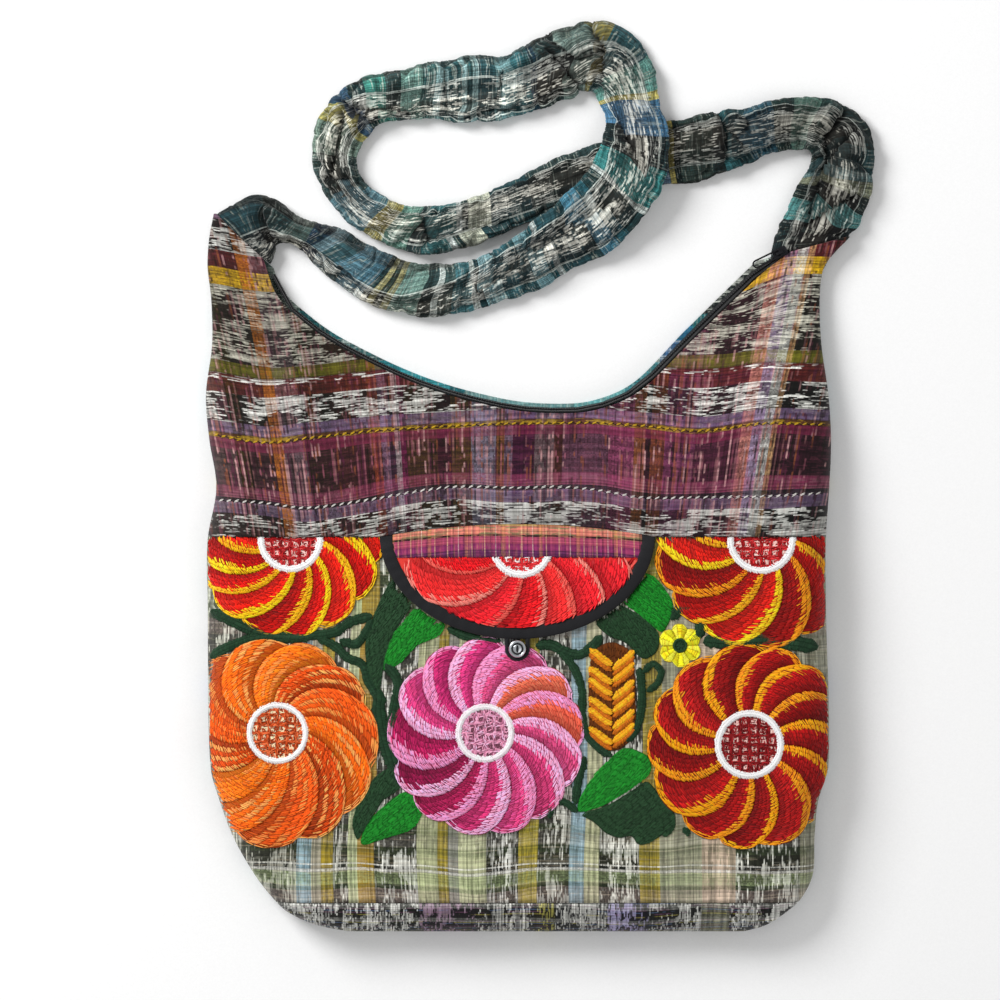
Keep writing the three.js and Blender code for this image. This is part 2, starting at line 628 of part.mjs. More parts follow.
// The strap's padded section, swept along its run with a shallow crease down the middle
function shoulderStrap() {
  const rows = STRAP.map((row, at) => ({ ...row, at }));
  const rings = Array.from({ length: STRAP_STEPS + 1 }, (_, k) => {
    const at = (k / STRAP_STEPS) * (rows.length - 1);
    const value = (column) => read(rows, "at", at, column);
    const turn = radians(value("heading"));
    const side = new THREE.Vector2(-Math.sin(turn), Math.cos(turn));
    const crease = STRAP_CREASE * ease(at) * ease(rows.length - 1 - at);
    return Array.from({ length: STRAP_SIDES }, (_, s) => {
      const round = (s / STRAP_SIDES) * 2 * Math.PI;
      const across = Math.cos(round);
      const swell = Math.sign(Math.sin(round)) * Math.sqrt(Math.max(0, 1 - Math.abs(across) ** 3));
      const floor = mix(value("right"), value("left"), (across + 1) / 2);
      const dent = Math.sin(round) > 0 ? crease * Math.exp(-((across / 0.3) ** 2)) : 0;
      const away = (across * value("wide")) / 2;
      const z = floor + (value("thick") / 2) * (1 + swell) - dent;
      return new THREE.Vector3(value("x") + side.x * away, value("y") + side.y * away, z);
    });
  });
  return loft(rings);
}

const PIECES = [
  ["back_panel", backPanel, JASPE_TEAL],
  ["front_yoke", frontYoke, JASPE_PLUM],
  ["front_pocket_panel", pocketPanel, JASPE_OLIVE],
  ["base_gusset", baseGusset, JASPE_DARK],
  ["pocket_flap", pocketFlap, CORAL_CLOTH],
  ["flap_top_strip", flapStrip, PLAID_CLOTH],
  ["flap_binding", flapBinding, BLACK_CLOTH],
  ["flap_button", flapButton, SILVER_METAL],
  ["button_loop", buttonLoop, BLACK_CLOTH],
  ["zip_tape_front", () => zipBand(ZIP.frontTape, ZIP.tape), BLACK_NYLON],
  ["zip_coil", () => zipBand(ZIP.coilBand, ZIP.coil), BLACK_NYLON],
  ["zip_tape_back", () => zipBand(ZIP.backTape, ZIP.tape), BLACK_NYLON],
  ["zip_slider", zipSlider, BLACK_METAL],
  ["zip_pull", zipPull, BLACK_METAL],
  ["shoulder_strap", shoulderStrap, JASPE_TEAL],
];

const bag = new THREE.Group();
bag.name = "embroidered_hobo_bag";
for (const [name, build, finish] of PIECES) {
  const mesh = new THREE.Mesh(build(), finish);
  mesh.name = name;
  bag.add(mesh);
}

export default bag;
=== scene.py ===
import logging
import math
from dataclasses import dataclass, field
from enum import Enum
from functools import cache
from typing import Callable, NamedTuple, Sequence

import bmesh
import bpy
import numpy as np
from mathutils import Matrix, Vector, noise


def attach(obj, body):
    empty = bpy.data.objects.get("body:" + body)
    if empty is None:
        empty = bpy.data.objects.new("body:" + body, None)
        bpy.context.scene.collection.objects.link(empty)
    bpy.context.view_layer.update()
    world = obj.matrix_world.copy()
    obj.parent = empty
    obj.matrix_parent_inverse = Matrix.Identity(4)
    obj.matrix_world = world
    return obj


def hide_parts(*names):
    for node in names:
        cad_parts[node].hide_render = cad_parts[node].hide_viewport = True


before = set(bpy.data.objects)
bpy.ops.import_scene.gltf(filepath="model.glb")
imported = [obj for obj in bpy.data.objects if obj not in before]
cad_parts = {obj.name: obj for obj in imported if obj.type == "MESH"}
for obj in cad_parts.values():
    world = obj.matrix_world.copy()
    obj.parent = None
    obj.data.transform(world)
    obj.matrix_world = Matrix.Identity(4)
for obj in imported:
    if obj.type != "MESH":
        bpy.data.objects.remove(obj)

log = logging.getLogger("bag")

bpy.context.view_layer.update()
MM = 0.001
BODY = "bag"
SEED = 7

Grid = np.ndarray
Points = np.ndarray
Obj = bpy.types.Object
Material = bpy.types.Material
Node = bpy.types.Node
Pairs = tuple[tuple[float, float], ...]


class Axis(Enum):
    """Which UV direction the broad bands of a woven cloth are counted along."""

    U = 0
    V = 1


# Small tools


def linear(colour: str) -> Points:
    """Linear red, green and blue of an sRGB hex colour."""
    parts = [int(colour[k : k + 2], 16) / 255 for k in (1, 3, 5)]
    return np.array([c / 12.92 if c <= 0.04045 else ((c + 0.055) / 1.055) ** 2.4 for c in parts])


def through(keys: Sequence[float], values: Sequence[float], at: Grid) -> Grid:
    """Reads a table on a smooth curve through its rows.

    Args:
        keys: rising places of the rows.
        values: the value of each row.
        at: places to read.

    Returns:
        The value at each place, held at the ends.
    """
    key, value = np.asarray(keys, float), np.asarray(values, float)
    last = len(key) - 1
    place = np.clip(at, key[0], key[-1])
    i = np.clip(np.searchsorted(key, place, side="right") - 1, 0, last - 1)
    before, after = np.maximum(np.arange(last + 1) - 1, 0), np.minimum(np.arange(last + 1) + 1, last)
    slope = (value[after] - value[before]) / (key[after] - key[before])
    span = key[i + 1] - key[i]
    t = (place - key[i]) / span
    t2, t3 = t * t, t * t * t
    ends = value[i] * (2 * t3 - 3 * t2 + 1) + value[i + 1] * (3 * t2 - 2 * t3)
    return ends + span * (slope[i] * (t3 - 2 * t2 + t) + slope[i + 1] * (t3 - t2))


def table(kind: type, *lines: tuple) -> tuple:
    """A table's rows as named tuples of one kind."""
    return tuple(kind(*line) for line in lines)


def ease(t: Grid) -> Grid:
    """Smooth step from 0 to 1."""
    c = np.clip(t, 0, 1)
    return c * c * (3 - 2 * c)


def unit(way: Points) -> Points:
    """Directions scaled to a length of 1."""
    return way / np.linalg.norm(way, axis=-1, keepdims=True)


def lengths(line: Points) -> Grid:
    """How far along a line each of its points lies."""
    return np.concatenate([[0], np.cumsum(np.linalg.norm(np.diff(line, axis=0), axis=1))])


def around(count: int) -> Grid:
    """Angles once round, in even steps."""
    return np.linspace(0, 2 * math.pi, count, endpoint=False)


def polar(x: Grid | float, y: Grid | float, radius: Grid, turn: Grid) -> Grid:
    """Places at a radius and an angle from a middle."""
    return np.stack(np.broadcast_arrays(x + radius * np.cos(turn), y + radius * np.sin(turn)), axis=-1)


def turned(x: Grid, y: Grid, degrees: float) -> tuple[Grid, Grid]:
    """Places turned about the origin."""
    c, s = math.cos(math.radians(degrees)), math.sin(math.radians(degrees))
    return x * c - y * s, x * s + y * c


def ripple(x: Grid, y: Grid, size: float, seed: float) -> Grid:
    """Smooth seeded noise over a plane, about -1 to 1, with humps of the given size in the same unit."""
    flat = [noise.noise((a / size, b / size, seed)) for a, b in zip(np.ravel(x), np.ravel(y))]
    return np.array(flat).reshape(np.shape(x)) * 1.6


def link(name: str, data: bpy.types.ID) -> Obj:
    """Makes an object from its data and links it to the scene."""
    obj = bpy.data.objects.new(name, data)
    bpy.context.scene.collection.objects.link(obj)
    return obj


def coat(mesh: bpy.types.Mesh, material: Material) -> None:
    """Gives a mesh one material."""
    mesh.materials.clear()
    mesh.materials.append(material)


def places(mesh: bpy.types.Mesh) -> Points:
    """Where the points of a mesh lie, in metres."""
    flat = np.empty(len(mesh.vertices) * 3)
    mesh.vertices.foreach_get("co", flat)
    return flat.reshape(-1, 3)


def mesh_object(
    name: str, points: Points, faces: list, uv: Points | None = None, thread: Points | None = None
) -> Obj:
    """Makes a smooth-shaded closed object from points in millimetres, with its faces turned outwards.

    Args:
        name: name of the object and its mesh.
        points: one row of x, y, z for each point.
        faces: point numbers of each face, all wound the same way.
        uv: one row of u, v in metres for each point.
        thread: one linear colour for each point.

    Returns:
        The new object, linked to the scene.
    """
    place = np.asarray(points, float)
    apex = place[0]
    fans = [(f[0], f[k], f[k + 1]) for f in faces for k in range(1, len(f) - 1)]
    a, b, c = (place[np.array(fans)[:, k]] - apex for k in range(3))
    if np.einsum("ij,ij->", a, np.cross(b, c)) < 0:
        faces = [f[::-1] for f in faces]
    mesh = bpy.data.meshes.new(name)
    mesh.from_pydata((place * MM).tolist(), [], faces)
    mesh.polygons.foreach_set("use_smooth", [True] * len(mesh.polygons))
    if uv is not None:
        corner = np.empty(len(mesh.loops), np.int32)
        mesh.loops.foreach_get("vertex_index", corner)
        layer = mesh.uv_layers.new(name="weave")
        layer.data.foreach_set("uv", np.asarray(uv, np.float32)[corner].ravel())
    if thread is not None:
        store(mesh, "thread", "FLOAT_COLOR", np.column_stack([thread, np.ones(len(place))]))
    mesh.update()
    return link(name, mesh)


def store(mesh: bpy.types.Mesh, name: str, kind: str, values: Grid) -> None:
    """Stores one value for each point of a mesh under a name."""
    key = {"FLOAT_COLOR": "color", "FLOAT_VECTOR": "vector", "FLOAT": "value"}[kind]
    layer = mesh.attributes.new(name, kind, "POINT")
    layer.data.foreach_set(key, np.asarray(values, np.float32).ravel())


def grid_faces(rows: int, columns: int, ring: bool = False) -> list:
    """Quads of a grid of points numbered row by row, joined round if it is a ring."""
    faces = []
    for r in range(rows - 1):
        for c in range(columns if ring else columns - 1):
            d = (c + 1) % columns
            faces.append((r * columns + c, r * columns + d, (r + 1) * columns + d, (r + 1) * columns + c))
    return faces


def slab(
    name: str,
    outer: Points,
    inner: Points,
    faces: list,
    uv: Points | None = None,
    thread: Points | None = None,
) -> Obj:
    """Closed sheet between an outer and an inner set of points, joined along every open edge.

    Args:
        name: name of the object.
        outer: points of the outer face.
        inner: the matching points of the inner face.
        faces: faces of the outer face, all wound the same way.
        uv: u, v for each outer point.
        thread: a colour for each outer point.

    Returns:
        The sheet as an object.
    """
    used = np.unique(np.concatenate([np.asarray(f) for f in faces]))
    number = {old: new for new, old in enumerate(used.tolist())}
    skin = [tuple(number[i] for i in f) for f in faces]
    edges = {(f[k], f[(k + 1) % len(f)]) for f in skin for k in range(len(f))}
    count = len(used)
    shut = skin + [tuple(i + count for i in reversed(f)) for f in skin]
    shut += [(b, a, a + count, b + count) for a, b in sorted(edges) if (b, a) not in edges]
    points = np.concatenate([outer.reshape(-1, 3)[used], inner.reshape(-1, 3)[used]])
    both = [None if v is None else np.tile(v.reshape(-1, v.shape[-1])[used], (2, 1)) for v in (uv, thread)]
    return mesh_object(name, points, shut, *both)


def tube(name: str, rings: Grid, uv: Grid | None = None) -> Obj:
    """Closed solid through rings of points, capped with a fan at each end.

    Args:
        name: name of the object.
        rings: steps x sides x 3 points. With a UV the last point of each ring repeats the first.
        uv: steps x sides x 2, or nothing.

    Returns:
        The solid as an object.
    """
    steps, sides = rings.shape[:2]
    faces = grid_faces(steps, sides, ring=uv is None)
    points, coords = rings.reshape(-1, 3), None if uv is None else uv.reshape(-1, 2)
    for ring, order in ((0, -1), (steps - 1, 1)):
        base, middle = ring * sides, len(points)
        points = np.vstack([points, rings[ring].mean(axis=0)])
        coords = None if uv is None else np.vstack([coords, uv[ring].mean(axis=0)])
        for s in range(sides if uv is None else sides - 1):
            pair = (base + s, base + (s + 1) % sides)
            faces.append((*pair[::order], middle))
    solid = mesh_object(name, points, faces, coords)
    if uv is not None:
        weld(solid)
    return solid


def weld(obj: Obj) -> None:
    """Joins points that lie on each other, keeping the UV of each face."""
    shape = bmesh.new()
    shape.from_mesh(obj.data)
    bmesh.ops.remove_doubles(shape, verts=shape.verts, dist=0.001 * MM)
    shape.to_mesh(obj.data)
    shape.free()


class Graph:
    """Adds nodes to one node tree and links them."""

    def __init__(self, tree: bpy.types.NodeTree) -> None:
        self.tree = tree

    def add(self, kind: str, *values: object, **settings: object) -> Node:
        """Adds a node.

        Args:
            kind: the node's type name.
            values: for each input in order, a socket, a node for its first output, a constant, or None.
            settings: properties of the node itself.

        Returns:
            The new node.
        """
        node = self.tree.nodes.new(kind)
        for key, value in settings.items():
            setattr(node, key, value)
        for socket, value in zip(node.inputs, values):
            self.put(socket, value)
        return node

    def put(self, socket: bpy.types.NodeSocket, value: object) -> None:
        """Gives an input a socket, a node for its first output, a constant, or nothing."""
        if isinstance(value, Node):
            value = value.outputs[0]
        if isinstance(value, bpy.types.NodeSocket):
            self.tree.links.new(value, socket)
        elif value is not None:
            socket.default_value = value

    def mix(self, share: object, a: object, b: object, blend: str = "MIX") -> bpy.types.NodeSocket:
        """Mixes two colours by a share."""
        node = self.add("ShaderNodeMix", data_type="RGBA", blend_type=blend)
        for place, value in ((0, share), (6, a), (7, b)):
            self.put(node.inputs[place], value)
        return node.outputs[2]

    def calc(self, operation: str, *values: object, clamp: bool = False) -> Node:
        """Adds a node that works out one number."""
        return self.add("ShaderNodeMath", *values, operation=operation, use_clamp=clamp)

    def luck(self, line: object) -> Node:
        """Adds a node that gives each number its own random value from 0 to 1."""
        return self.add("ShaderNodeTexWhiteNoise", None, line, noise_dimensions="1D")

    def ramp(self, at: object, stops: Sequence[tuple[float, str, float]]) -> Node:
        """Adds a colour ramp with hard steps: each stop gives a place, a colour and an alpha."""
        node = self.add("ShaderNodeValToRGB", at)
        line = node.color_ramp
        line.interpolation = "CONSTANT"
        while len(line.elements) < len(stops):
            line.elements.new(1.0)
        for element, (place, colour, alpha) in zip(line.elements, stops):
            element.position = place
            element.color = (*linear(colour), alpha)
        return node


class Shader:
    """A material with one principled shader, and the graph to feed it."""

    def __init__(self, name: str, roughness: float, metallic: float = 0.0, specular: float = 0.3) -> None:
        self.material = bpy.data.materials.new(name)
        self.material.use_nodes = True
        self.graph = Graph(self.material.node_tree)
        self.surface = self.material.node_tree.nodes["Principled BSDF"]
        self.feed("Roughness", roughness)
        self.feed("Metallic", metallic)
        self.feed("Specular IOR Level", specular)

    def feed(self, name: str, source: object) -> None:
        """Gives one input of the shader a socket, a node for its first output, or a constant."""
        self.graph.put(self.surface.inputs[name], source)


class Band(NamedTuple):
    """A band of woven cloth: start in mm, colour, dashes, their share, and how far cross threads show."""

    start: float
    colour: str
    dash: str
    amount: float
    cross: float = 0.6


class Stripe(NamedTuple):
    """One stripe across the bands: where it starts in mm, its colour and how strongly it shows."""

    start: float
    colour: str
    strength: float


@dataclass(frozen=True)
class Jaspe:
    """Hand-woven cloth of tie-dyed threads: bands of dashes, crossed by stripes and stray threads.

    Positions are in millimetres of UV. Bands are counted along one UV direction, and their threads, with the
    dashes dyed into them, run along the other.
    """

    name: str
    bands: tuple[Band, ...]
    stripes: tuple[Stripe, ...]
    strays: tuple[str, ...]
    axis: Axis
    low: float
    high: float
    cross_low: float
    cross_high: float
    repeat: float = 0.0
    stray: float = 0.6
    dash: float = 7.0
    bundle: float = 0.72
    stray_size: float = 0.72
    few: float = 0.0
    clump: float = 0.5
    cluster: float = 16.0
    thread: float = 0.75
    shade: float = 0.35
    dye: float = 1.0
    uneven: bool = False
    most: int = 30
    cover: tuple[float, float] = (0.5, 1.4)
    bump: float = 0.3
    sheen: float = 0.1
    specular: float = 0.15
    roughness: float = 0.88

    @cache
    def build(self) -> Material:
        """Makes the cotton: dull, with thread-fine streaks of light and dark that read as weave."""
        shader = Shader(self.name, self.roughness, specular=self.specular)
        g = shader.graph
        uv = g.add("ShaderNodeSeparateXYZ", g.add("ShaderNodeUVMap", uv_map="weave"))
        across, along = uv.outputs[self.axis.value], uv.outputs[1 - self.axis.value]
        place = g.add("ShaderNodeMapRange", across, self.low * MM, self.high * MM, 0.0, 1.0)
        span = self.high - self.low
        base = g.ramp(place, [((b.start - self.low) / span, b.colour, b.cross) for b in self.bands])
        dyed = g.ramp(place, [((b.start - self.low) / span, b.dash, b.amount) for b in self.bands])
        share = g.calc("MULTIPLY", self._dashes(g, along, across, self.bundle), dyed.outputs[1])
        cloth = g.mix(share, base, dyed)
        stripe, strength = self._stripes(g, along)
        row, column = self._count(g, across, self.thread), self._count(g, along, self.thread)
        crossing = g.add("ShaderNodeCombineXYZ", row, column, 0.0)
        grain = g.add("ShaderNodeTexWhiteNoise", crossing, noise_dimensions="2D")
        cover = g.add("ShaderNodeMapRange", grain, 0.0, 1.0, *self.cover)
        cover = g.calc("MULTIPLY", cover, strength)
        cover = g.calc("MULTIPLY", cover, base.outputs[1], clamp=True)
        cloth = g.mix(cover, cloth, stripe)
        pick = g.luck(self._count(g, along, self.stray_size))
        loose = g.ramp(pick, [(k / len(self.strays), shade, 1.0) for k, shade in enumerate(self.strays)])
        show = g.calc("MULTIPLY", self._dashes(g, across, along, self.stray_size), self.stray)
        show = g.calc("MULTIPLY", show, base.outputs[1], clamp=True)
        cloth = g.mix(show, cloth, loose)
        shader.feed("Base Color", g.mix(1.0, cloth, self._tone(g, row, column), "MULTIPLY"))
        shader.feed("Sheen Weight", self.sheen)
        shader.feed("Normal", g.add("ShaderNodeBump", self.bump, self.bump * MM, 0.1, grain))
        return shader.material

    def _stripes(self, g: Graph, way: object) -> tuple[bpy.types.NodeSocket, bpy.types.NodeSocket]:
        """Colour and strength of the stripe at a place, from as many ramps as the table fills."""
        if self.repeat:
            way = g.calc("FLOORED_MODULO", way, self.repeat * MM)
        place = g.add("ShaderNodeMapRange", way, self.cross_low * MM, self.cross_high * MM, 0.0, 1.0)
        span = self.cross_high - self.cross_low
        stops = [((s.start - self.cross_low) / span, s.colour, s.strength) for s in self.stripes]
        colour, strength = g.ramp(place, stops[: self.most]).outputs
        for first in range(self.most, len(stops), self.most):
            later = g.ramp(place, stops[first : first + self.most])
            past = g.calc("GREATER_THAN", place, stops[first][0])
            colour = g.mix(past, colour, later)
            strength = g.add("ShaderNodeMix", past, None, strength, later.outputs[1]).outputs[0]
        return colour, strength

    def _count(self, g: Graph, way: object, size: float) -> Node:
        """Number of the thread, of a size in mm, that a place lies on."""
        return g.calc("FLOOR", g.calc("DIVIDE", way, size * MM))

    def _dashes(self, g: Graph, run: object, side: object, size: float) -> Node:
        """Mask of the dashes dyed into threads of a size, which run one way and lie side by side the other.

        Args:
            g: the material's graph.
            run: place along the threads.
            side: place across them.
            size: width of a thread in mm.

        Returns:
            A node that gives 0 between dashes and up to 1 on them.
        """
        line = self._count(g, side, size)
        luck = g.luck(line)
        phase = g.calc("MULTIPLY_ADD", luck, 53.0, g.calc("DIVIDE", run, self.dash * MM))
        own = self._cloud(g, phase, g.calc("MULTIPLY", line, 0.73))
        far = g.calc("DIVIDE", run, self.cluster * MM)
        near = g.calc("DIVIDE", side, 0.45 * self.cluster * MM)
        both = g.calc("MULTIPLY_ADD", self._cloud(g, far, near), self.clump, own)
        start = 0.48 + 0.5 * self.clump + self.few
        mask = g.add("ShaderNodeMapRange", both, start, start + 0.08, 0.0, 1.0)
        level = g.add("ShaderNodeMapRange", luck, 0.0, 0.7, 0.35, 1.0)
        return g.calc("MULTIPLY", mask, level)

    @staticmethod
    def _cloud(g: Graph, x: object, y: object) -> Node:
        """Soft noise over two counts."""
        return g.add("ShaderNodeTexNoise", g.add("ShaderNodeCombineXYZ", x, y, 0.5), None, 1.0, 1.0, 0.5)

    def _tone(self, g: Graph, row: Node, column: Node) -> Node:
        """Small difference in lightness from thread to thread, both ways, times the dye and the stored tone
        and painted shade.
        """
        tones = []
        for line, shade in ((row, self.shade), (column, 0.6 * self.shade)):
            tones.append(g.add("ShaderNodeMapRange", g.luck(line), 0.0, 1.0, 1 - shade, 1 + shade))
        tone = g.calc("MULTIPLY", *tones)
        # Read per point: painted shade in the strap's folds and on the yoke's horns, and the strap's tone
        # along its run.
        stored_tone_and_shade = g.add("ShaderNodeAttribute", attribute_name="tone_and_shade").outputs[2] if self.uneven else 1.0
        return g.calc("MULTIPLY", tone, g.calc("MULTIPLY", stored_tone_and_shade, self.dye))


@dataclass(frozen=True)
class Plain:
    """One even finish, dull or shiny, with a fine grain of a size in millimetres."""

    name: str
    colour: str
    roughness: float
    metallic: float = 0.0
    specular: float = 0.3
    sheen: float = 0.0
    grain: float = 1.0
    vary: float = 0.05

    @cache
    def build(self) -> Material:
        """Makes the finish: its colour and roughness drift a little with the grain."""
        shader = Shader(self.name, self.roughness, self.metallic, self.specular)
        g = shader.graph
        place = g.add("ShaderNodeTexCoord").outputs["Object"]
        grain = g.add("ShaderNodeTexNoise", place, None, 1 / (self.grain * MM), 3.0, 0.6)
        tint = linear(self.colour)
        ends = [(*np.minimum(tint * k, 1.0), 1.0) for k in (1 - self.vary, 1 + self.vary)]
        shader.feed("Base Color", g.mix(grain, *ends))
        shader.feed("Sheen Weight", self.sheen)
        dull = (self.roughness * 0.9, min(1.0, self.roughness * 1.1))
        shader.feed("Roughness", g.add("ShaderNodeMapRange", grain, 0.3, 0.7, *dull))
        shader.feed("Normal", g.add("ShaderNodeBump", 0.2, 0.2 * MM, 0.1, grain))
        return shader.material


@dataclass(frozen=True)
class Floss:
    """Embroidery thread: the colour of each stitch, with the soft gloss of mercerised cotton."""

    name: str = "mercerised embroidery cotton"
    roughness: float = 0.6

    @cache
    def build(self) -> Material:
        """Makes the thread from the colour stored on each stitch."""
        shader = Shader(self.name, self.roughness, specular=0.2)
        shader.feed("Base Color", shader.graph.add("ShaderNodeAttribute", attribute_name="thread"))
        return shader.material


# Shape of the pouch, in millimetres

FLAP_X = -0.5
FLAP_HALF = 78.3
FLAP_DEEP = 59.2


class Outline(NamedTuple):
    """Left and right edge of the pouch at a height y."""

    y: float
    left: float
    right: float


class Mouth(NamedTuple):
    """A point of the mouth's front edge, and the zip's width there seen from above."""

    x: float
    y: float
    zip: float


class Fold(NamedTuple):
    """A ridge or dent of the front cloth: middle, direction in degrees, half length and width, and height."""

    x: float
    y: float
    turn: float
    long: float
    wide: float
    high: float


class Rim(NamedTuple):
    """The line where the strap is sewn to a horn: outer corner and slope."""

    x: float
    y: float
    slope: float

    def at(self, x: Grid) -> Grid:
        """Height of the line at x."""
        return self.y + (x - self.x) * self.slope


@dataclass
class Pouch:
    """The cloth body of the bag: its outline, fullness and folds, shared by every panel."""

    wall: float = 1.6
    seam: float = 7.5
    seam_gap: float = 0.4
    front_edge: float = 20
    back_edge: float = 15
    base_y: float = -149.5
    base_front_y: float = -132
    base_back_y: float = -133
    yoke_y: float = 78
    arch: float = 7.3
    mouth_share: float = 0.32
    mouth_reach: float = 55
    back_strip: float = 2.6
    calm: float = 0.35
    slack_above: float = 60
    slack_below: float = -85
    slack_reach: tuple[float, float] = (40, 30)
    rim_reach: float = 110
    left_rim: Rim = Rim(-174.5, 262, -0.912)
    right_rim: Rim = Rim(191, 249, 0.257)
    outline: tuple[Outline, ...] = table(
        Outline,
        (-149.5, -98, 130), (-146, -115, 142), (-139, -131, 153), (-131, -140, 162), (-117, -151, 169),
        (-96, -163, 170), (-75, -171, 172), (-54, -176.5, 178), (40, -178, 176.5), (75, -178, 176.5),
        (105, -173, 178.5), (132, -177, 179.5), (158, -179, 178), (187, -175.5, 174), (213, -176, 173),
        (230, -178, 175), (238, -178, 180), (249, -177, 190.5), (262, -174.5, 197),
    )
    fullness: Pairs = (
        (-150, 20), (-60, 25), (20, 26), (76, 25), (120, 21), (160, 15), (200, 11), (262, 9.5),
    )
    mouth: tuple[Mouth, ...] = table(
        Mouth,
        (-146, 236, 2), (-139, 216.5, 2), (-123, 200, 2.2), (-102, 185.5, 2.4), (-56, 163.5, 2.8),
        (-10, 150.5, 3), (20, 147.5, 3), (45, 149.5, 3.2), (70, 160.5, 3.6), (100, 189.5, 4.2),
        (128, 216.5, 4.6), (142, 229.5, 4.6), (156, 240, 4.6),
    )
    folds: tuple[Fold, ...] = table(
        Fold,
        (-135, 115, -50, 42, 9, 2.4), (-150, 172, -75, 36, 7, 1.8), (15, 120, 4, 75, 12, -2.6),
        (118, 112, 78, 34, 9, 2.2), (150, 175, 100, 34, 7, 1.8), (-84, 88, 18, 26, 7, 2),
        (74, 92, -10, 36, 7, 1.8), (-118, -92, -48, 38, 10, -2.6), (136, -108, 32, 30, 8, 2.2),
        (-10, -98, 4, 80, 11, -2.2),
    )
    creases: tuple[Fold, ...] = table(
        Fold,
        (-160, 128, -62, 30, 3.5, 1.5), (-112, 100, -40, 30, 4, -1.3), (-60, 112, -12, 40, 4, 1.2),
        (-30, 92, 10, 34, 3.5, 1.3), (60, 120, 12, 40, 4, -1.2), (95, 140, 55, 34, 4, 1.3),
        (150, 120, 70, 34, 4, -1.3), (-160, 205, -84, 30, 4, -1.5), (160, 205, 82, 28, 4, -1.5),
        (-95, 150, -28, 34, 4, 1.1), (-150, -75, -62, 26, 4, 1.5), (-128, -112, -44, 26, 4, 1.6),
        (-60, -112, 3, 40, 4, 1.2), (40, -116, -3, 44, 4, 1.3), (112, -124, 8, 30, 3.5, -1.6),
        (150, -100, 60, 26, 4, 1.4),
    )
    line: Points = field(init=False)

    def __post_init__(self) -> None:
        x = np.linspace(self.mouth[0].x, self.mouth[-1].x, 97)
        self.line = np.column_stack([x, self.mouth_y(x)])

    def left(self, y: Grid) -> Grid:
        """Left edge at y."""
        return through([o.y for o in self.outline], [o.left for o in self.outline], y)

    def right(self, y: Grid) -> Grid:
        """Right edge at y."""
        return through([o.y for o in self.outline], [o.right for o in self.outline], y)

    def mouth_y(self, x: Grid) -> Grid:
        """Front edge of the mouth at x."""
        return through([m.x for m in self.mouth], [m.y for m in self.mouth], x)

    def zip_width(self, x: Grid) -> Grid:
        """Width of the zip at x, seen from above."""
        return through([m.x for m in self.mouth], [m.zip for m in self.mouth], x)

    def yoke_seam(self, x: Grid) -> Grid:
        """Seam between yoke and pocket panel at x, arched over the flap."""
        return self.yoke_y + self.arch * np.maximum(0, 1 - ((x - FLAP_X) / FLAP_HALF) ** 2)

    def mouth_slope(self, x: Grid) -> Grid:
        """Slope of the mouth's front edge at x."""
        return self.mouth_y(x + 0.5) - self.mouth_y(x - 0.5)

    def rim(self, x: Grid) -> Grid:
        """Height of the horns' rims at x."""
        return np.where(x < 0, self.left_rim.at(x), self.right_rim.at(x))

    def on_horn(self, x: Grid) -> Grid:
        """Whether x lies past the mouth, on a horn."""
        return (x < self.mouth[0].x) | (x > self.mouth[-1].x)

    def front_top(self, x: Grid) -> Grid:
        """Top of the front at x: a horn's rim, or the mouth."""
        return np.where(self.on_horn(x), self.rim(x), self.mouth_y(x))

    def back_top(self, x: Grid) -> Grid:
        """Top of the back at x, which shows a strip past the zip."""
        past = (self.zip_width(x) + self.back_strip) * np.hypot(1, self.mouth_slope(x))
        edge, rim = self.mouth_y(x) + past, self.rim(x)
        inside = np.where(np.abs(x) < self.rim_reach, edge, np.minimum(edge, rim))
        return np.where(self.on_horn(x), rim, inside)

    def folded(self, x: Grid, y: Grid, folds: Sequence[Fold]) -> Grid:
        """Sum of a table of folds."""
        total = np.zeros(np.shape(x))
        for f in folds:
            run, side = turned(x - f.x, y - f.y, -f.turn)
            run, side = run / f.long, side / f.wide
            total += f.high * np.exp(-run * run - side * side)
        return total

    def front_z(self, x: Grid, y: Grid, side: Grid | float = 1.0, base: Grid | float = 1.0) -> Grid:
        """Height of the front cloth: full in the middle, low at the mouth, rounded down to the seam.

        Args:
            x: places across.
            y: places along.
            side: 0 at the side seam to 1 on the flat.
            base: 0 at the bottom edge to 1 on the flat.

        Returns:
            The height of the outer face.
        """
        gap = np.full(np.shape(x), np.inf)
        for px, py in self.line:
            gap = np.minimum(gap, np.hypot(x - px, y - py))
        share = self.mouth_share + (1 - self.mouth_share) * ease(gap / self.mouth_reach)
        rise = through([f[0] for f in self.fullness], [f[1] for f in self.fullness], y)
        above = ease((y - self.slack_above) / self.slack_reach[0])
        below = ease((self.slack_below - y) / self.slack_reach[1])
        loose = self.calm + (1 - self.calm) * np.maximum(above, below)
        soft = ripple(x, y, 38, 1.5) + ripple(x, y * 1.6, 17, 4.5) * 0.5
        cloth = self.folded(x, y, self.folds) + self.folded(x, y, self.creases) + loose * soft
        return self.seam + self.seam_gap / 2 + side * base * (rise * share + cloth)

    def top_z(self, x: Grid, y: Grid) -> Grid:
        """Height of the front cloth at any place, rounded down towards its side seams."""
        inset = np.clip(np.minimum(x - self.left(y), self.right(y) - x) / self.front_edge, 0, 1)
        return self.front_z(x, y, np.sqrt(1 - (1 - inset) ** 2))

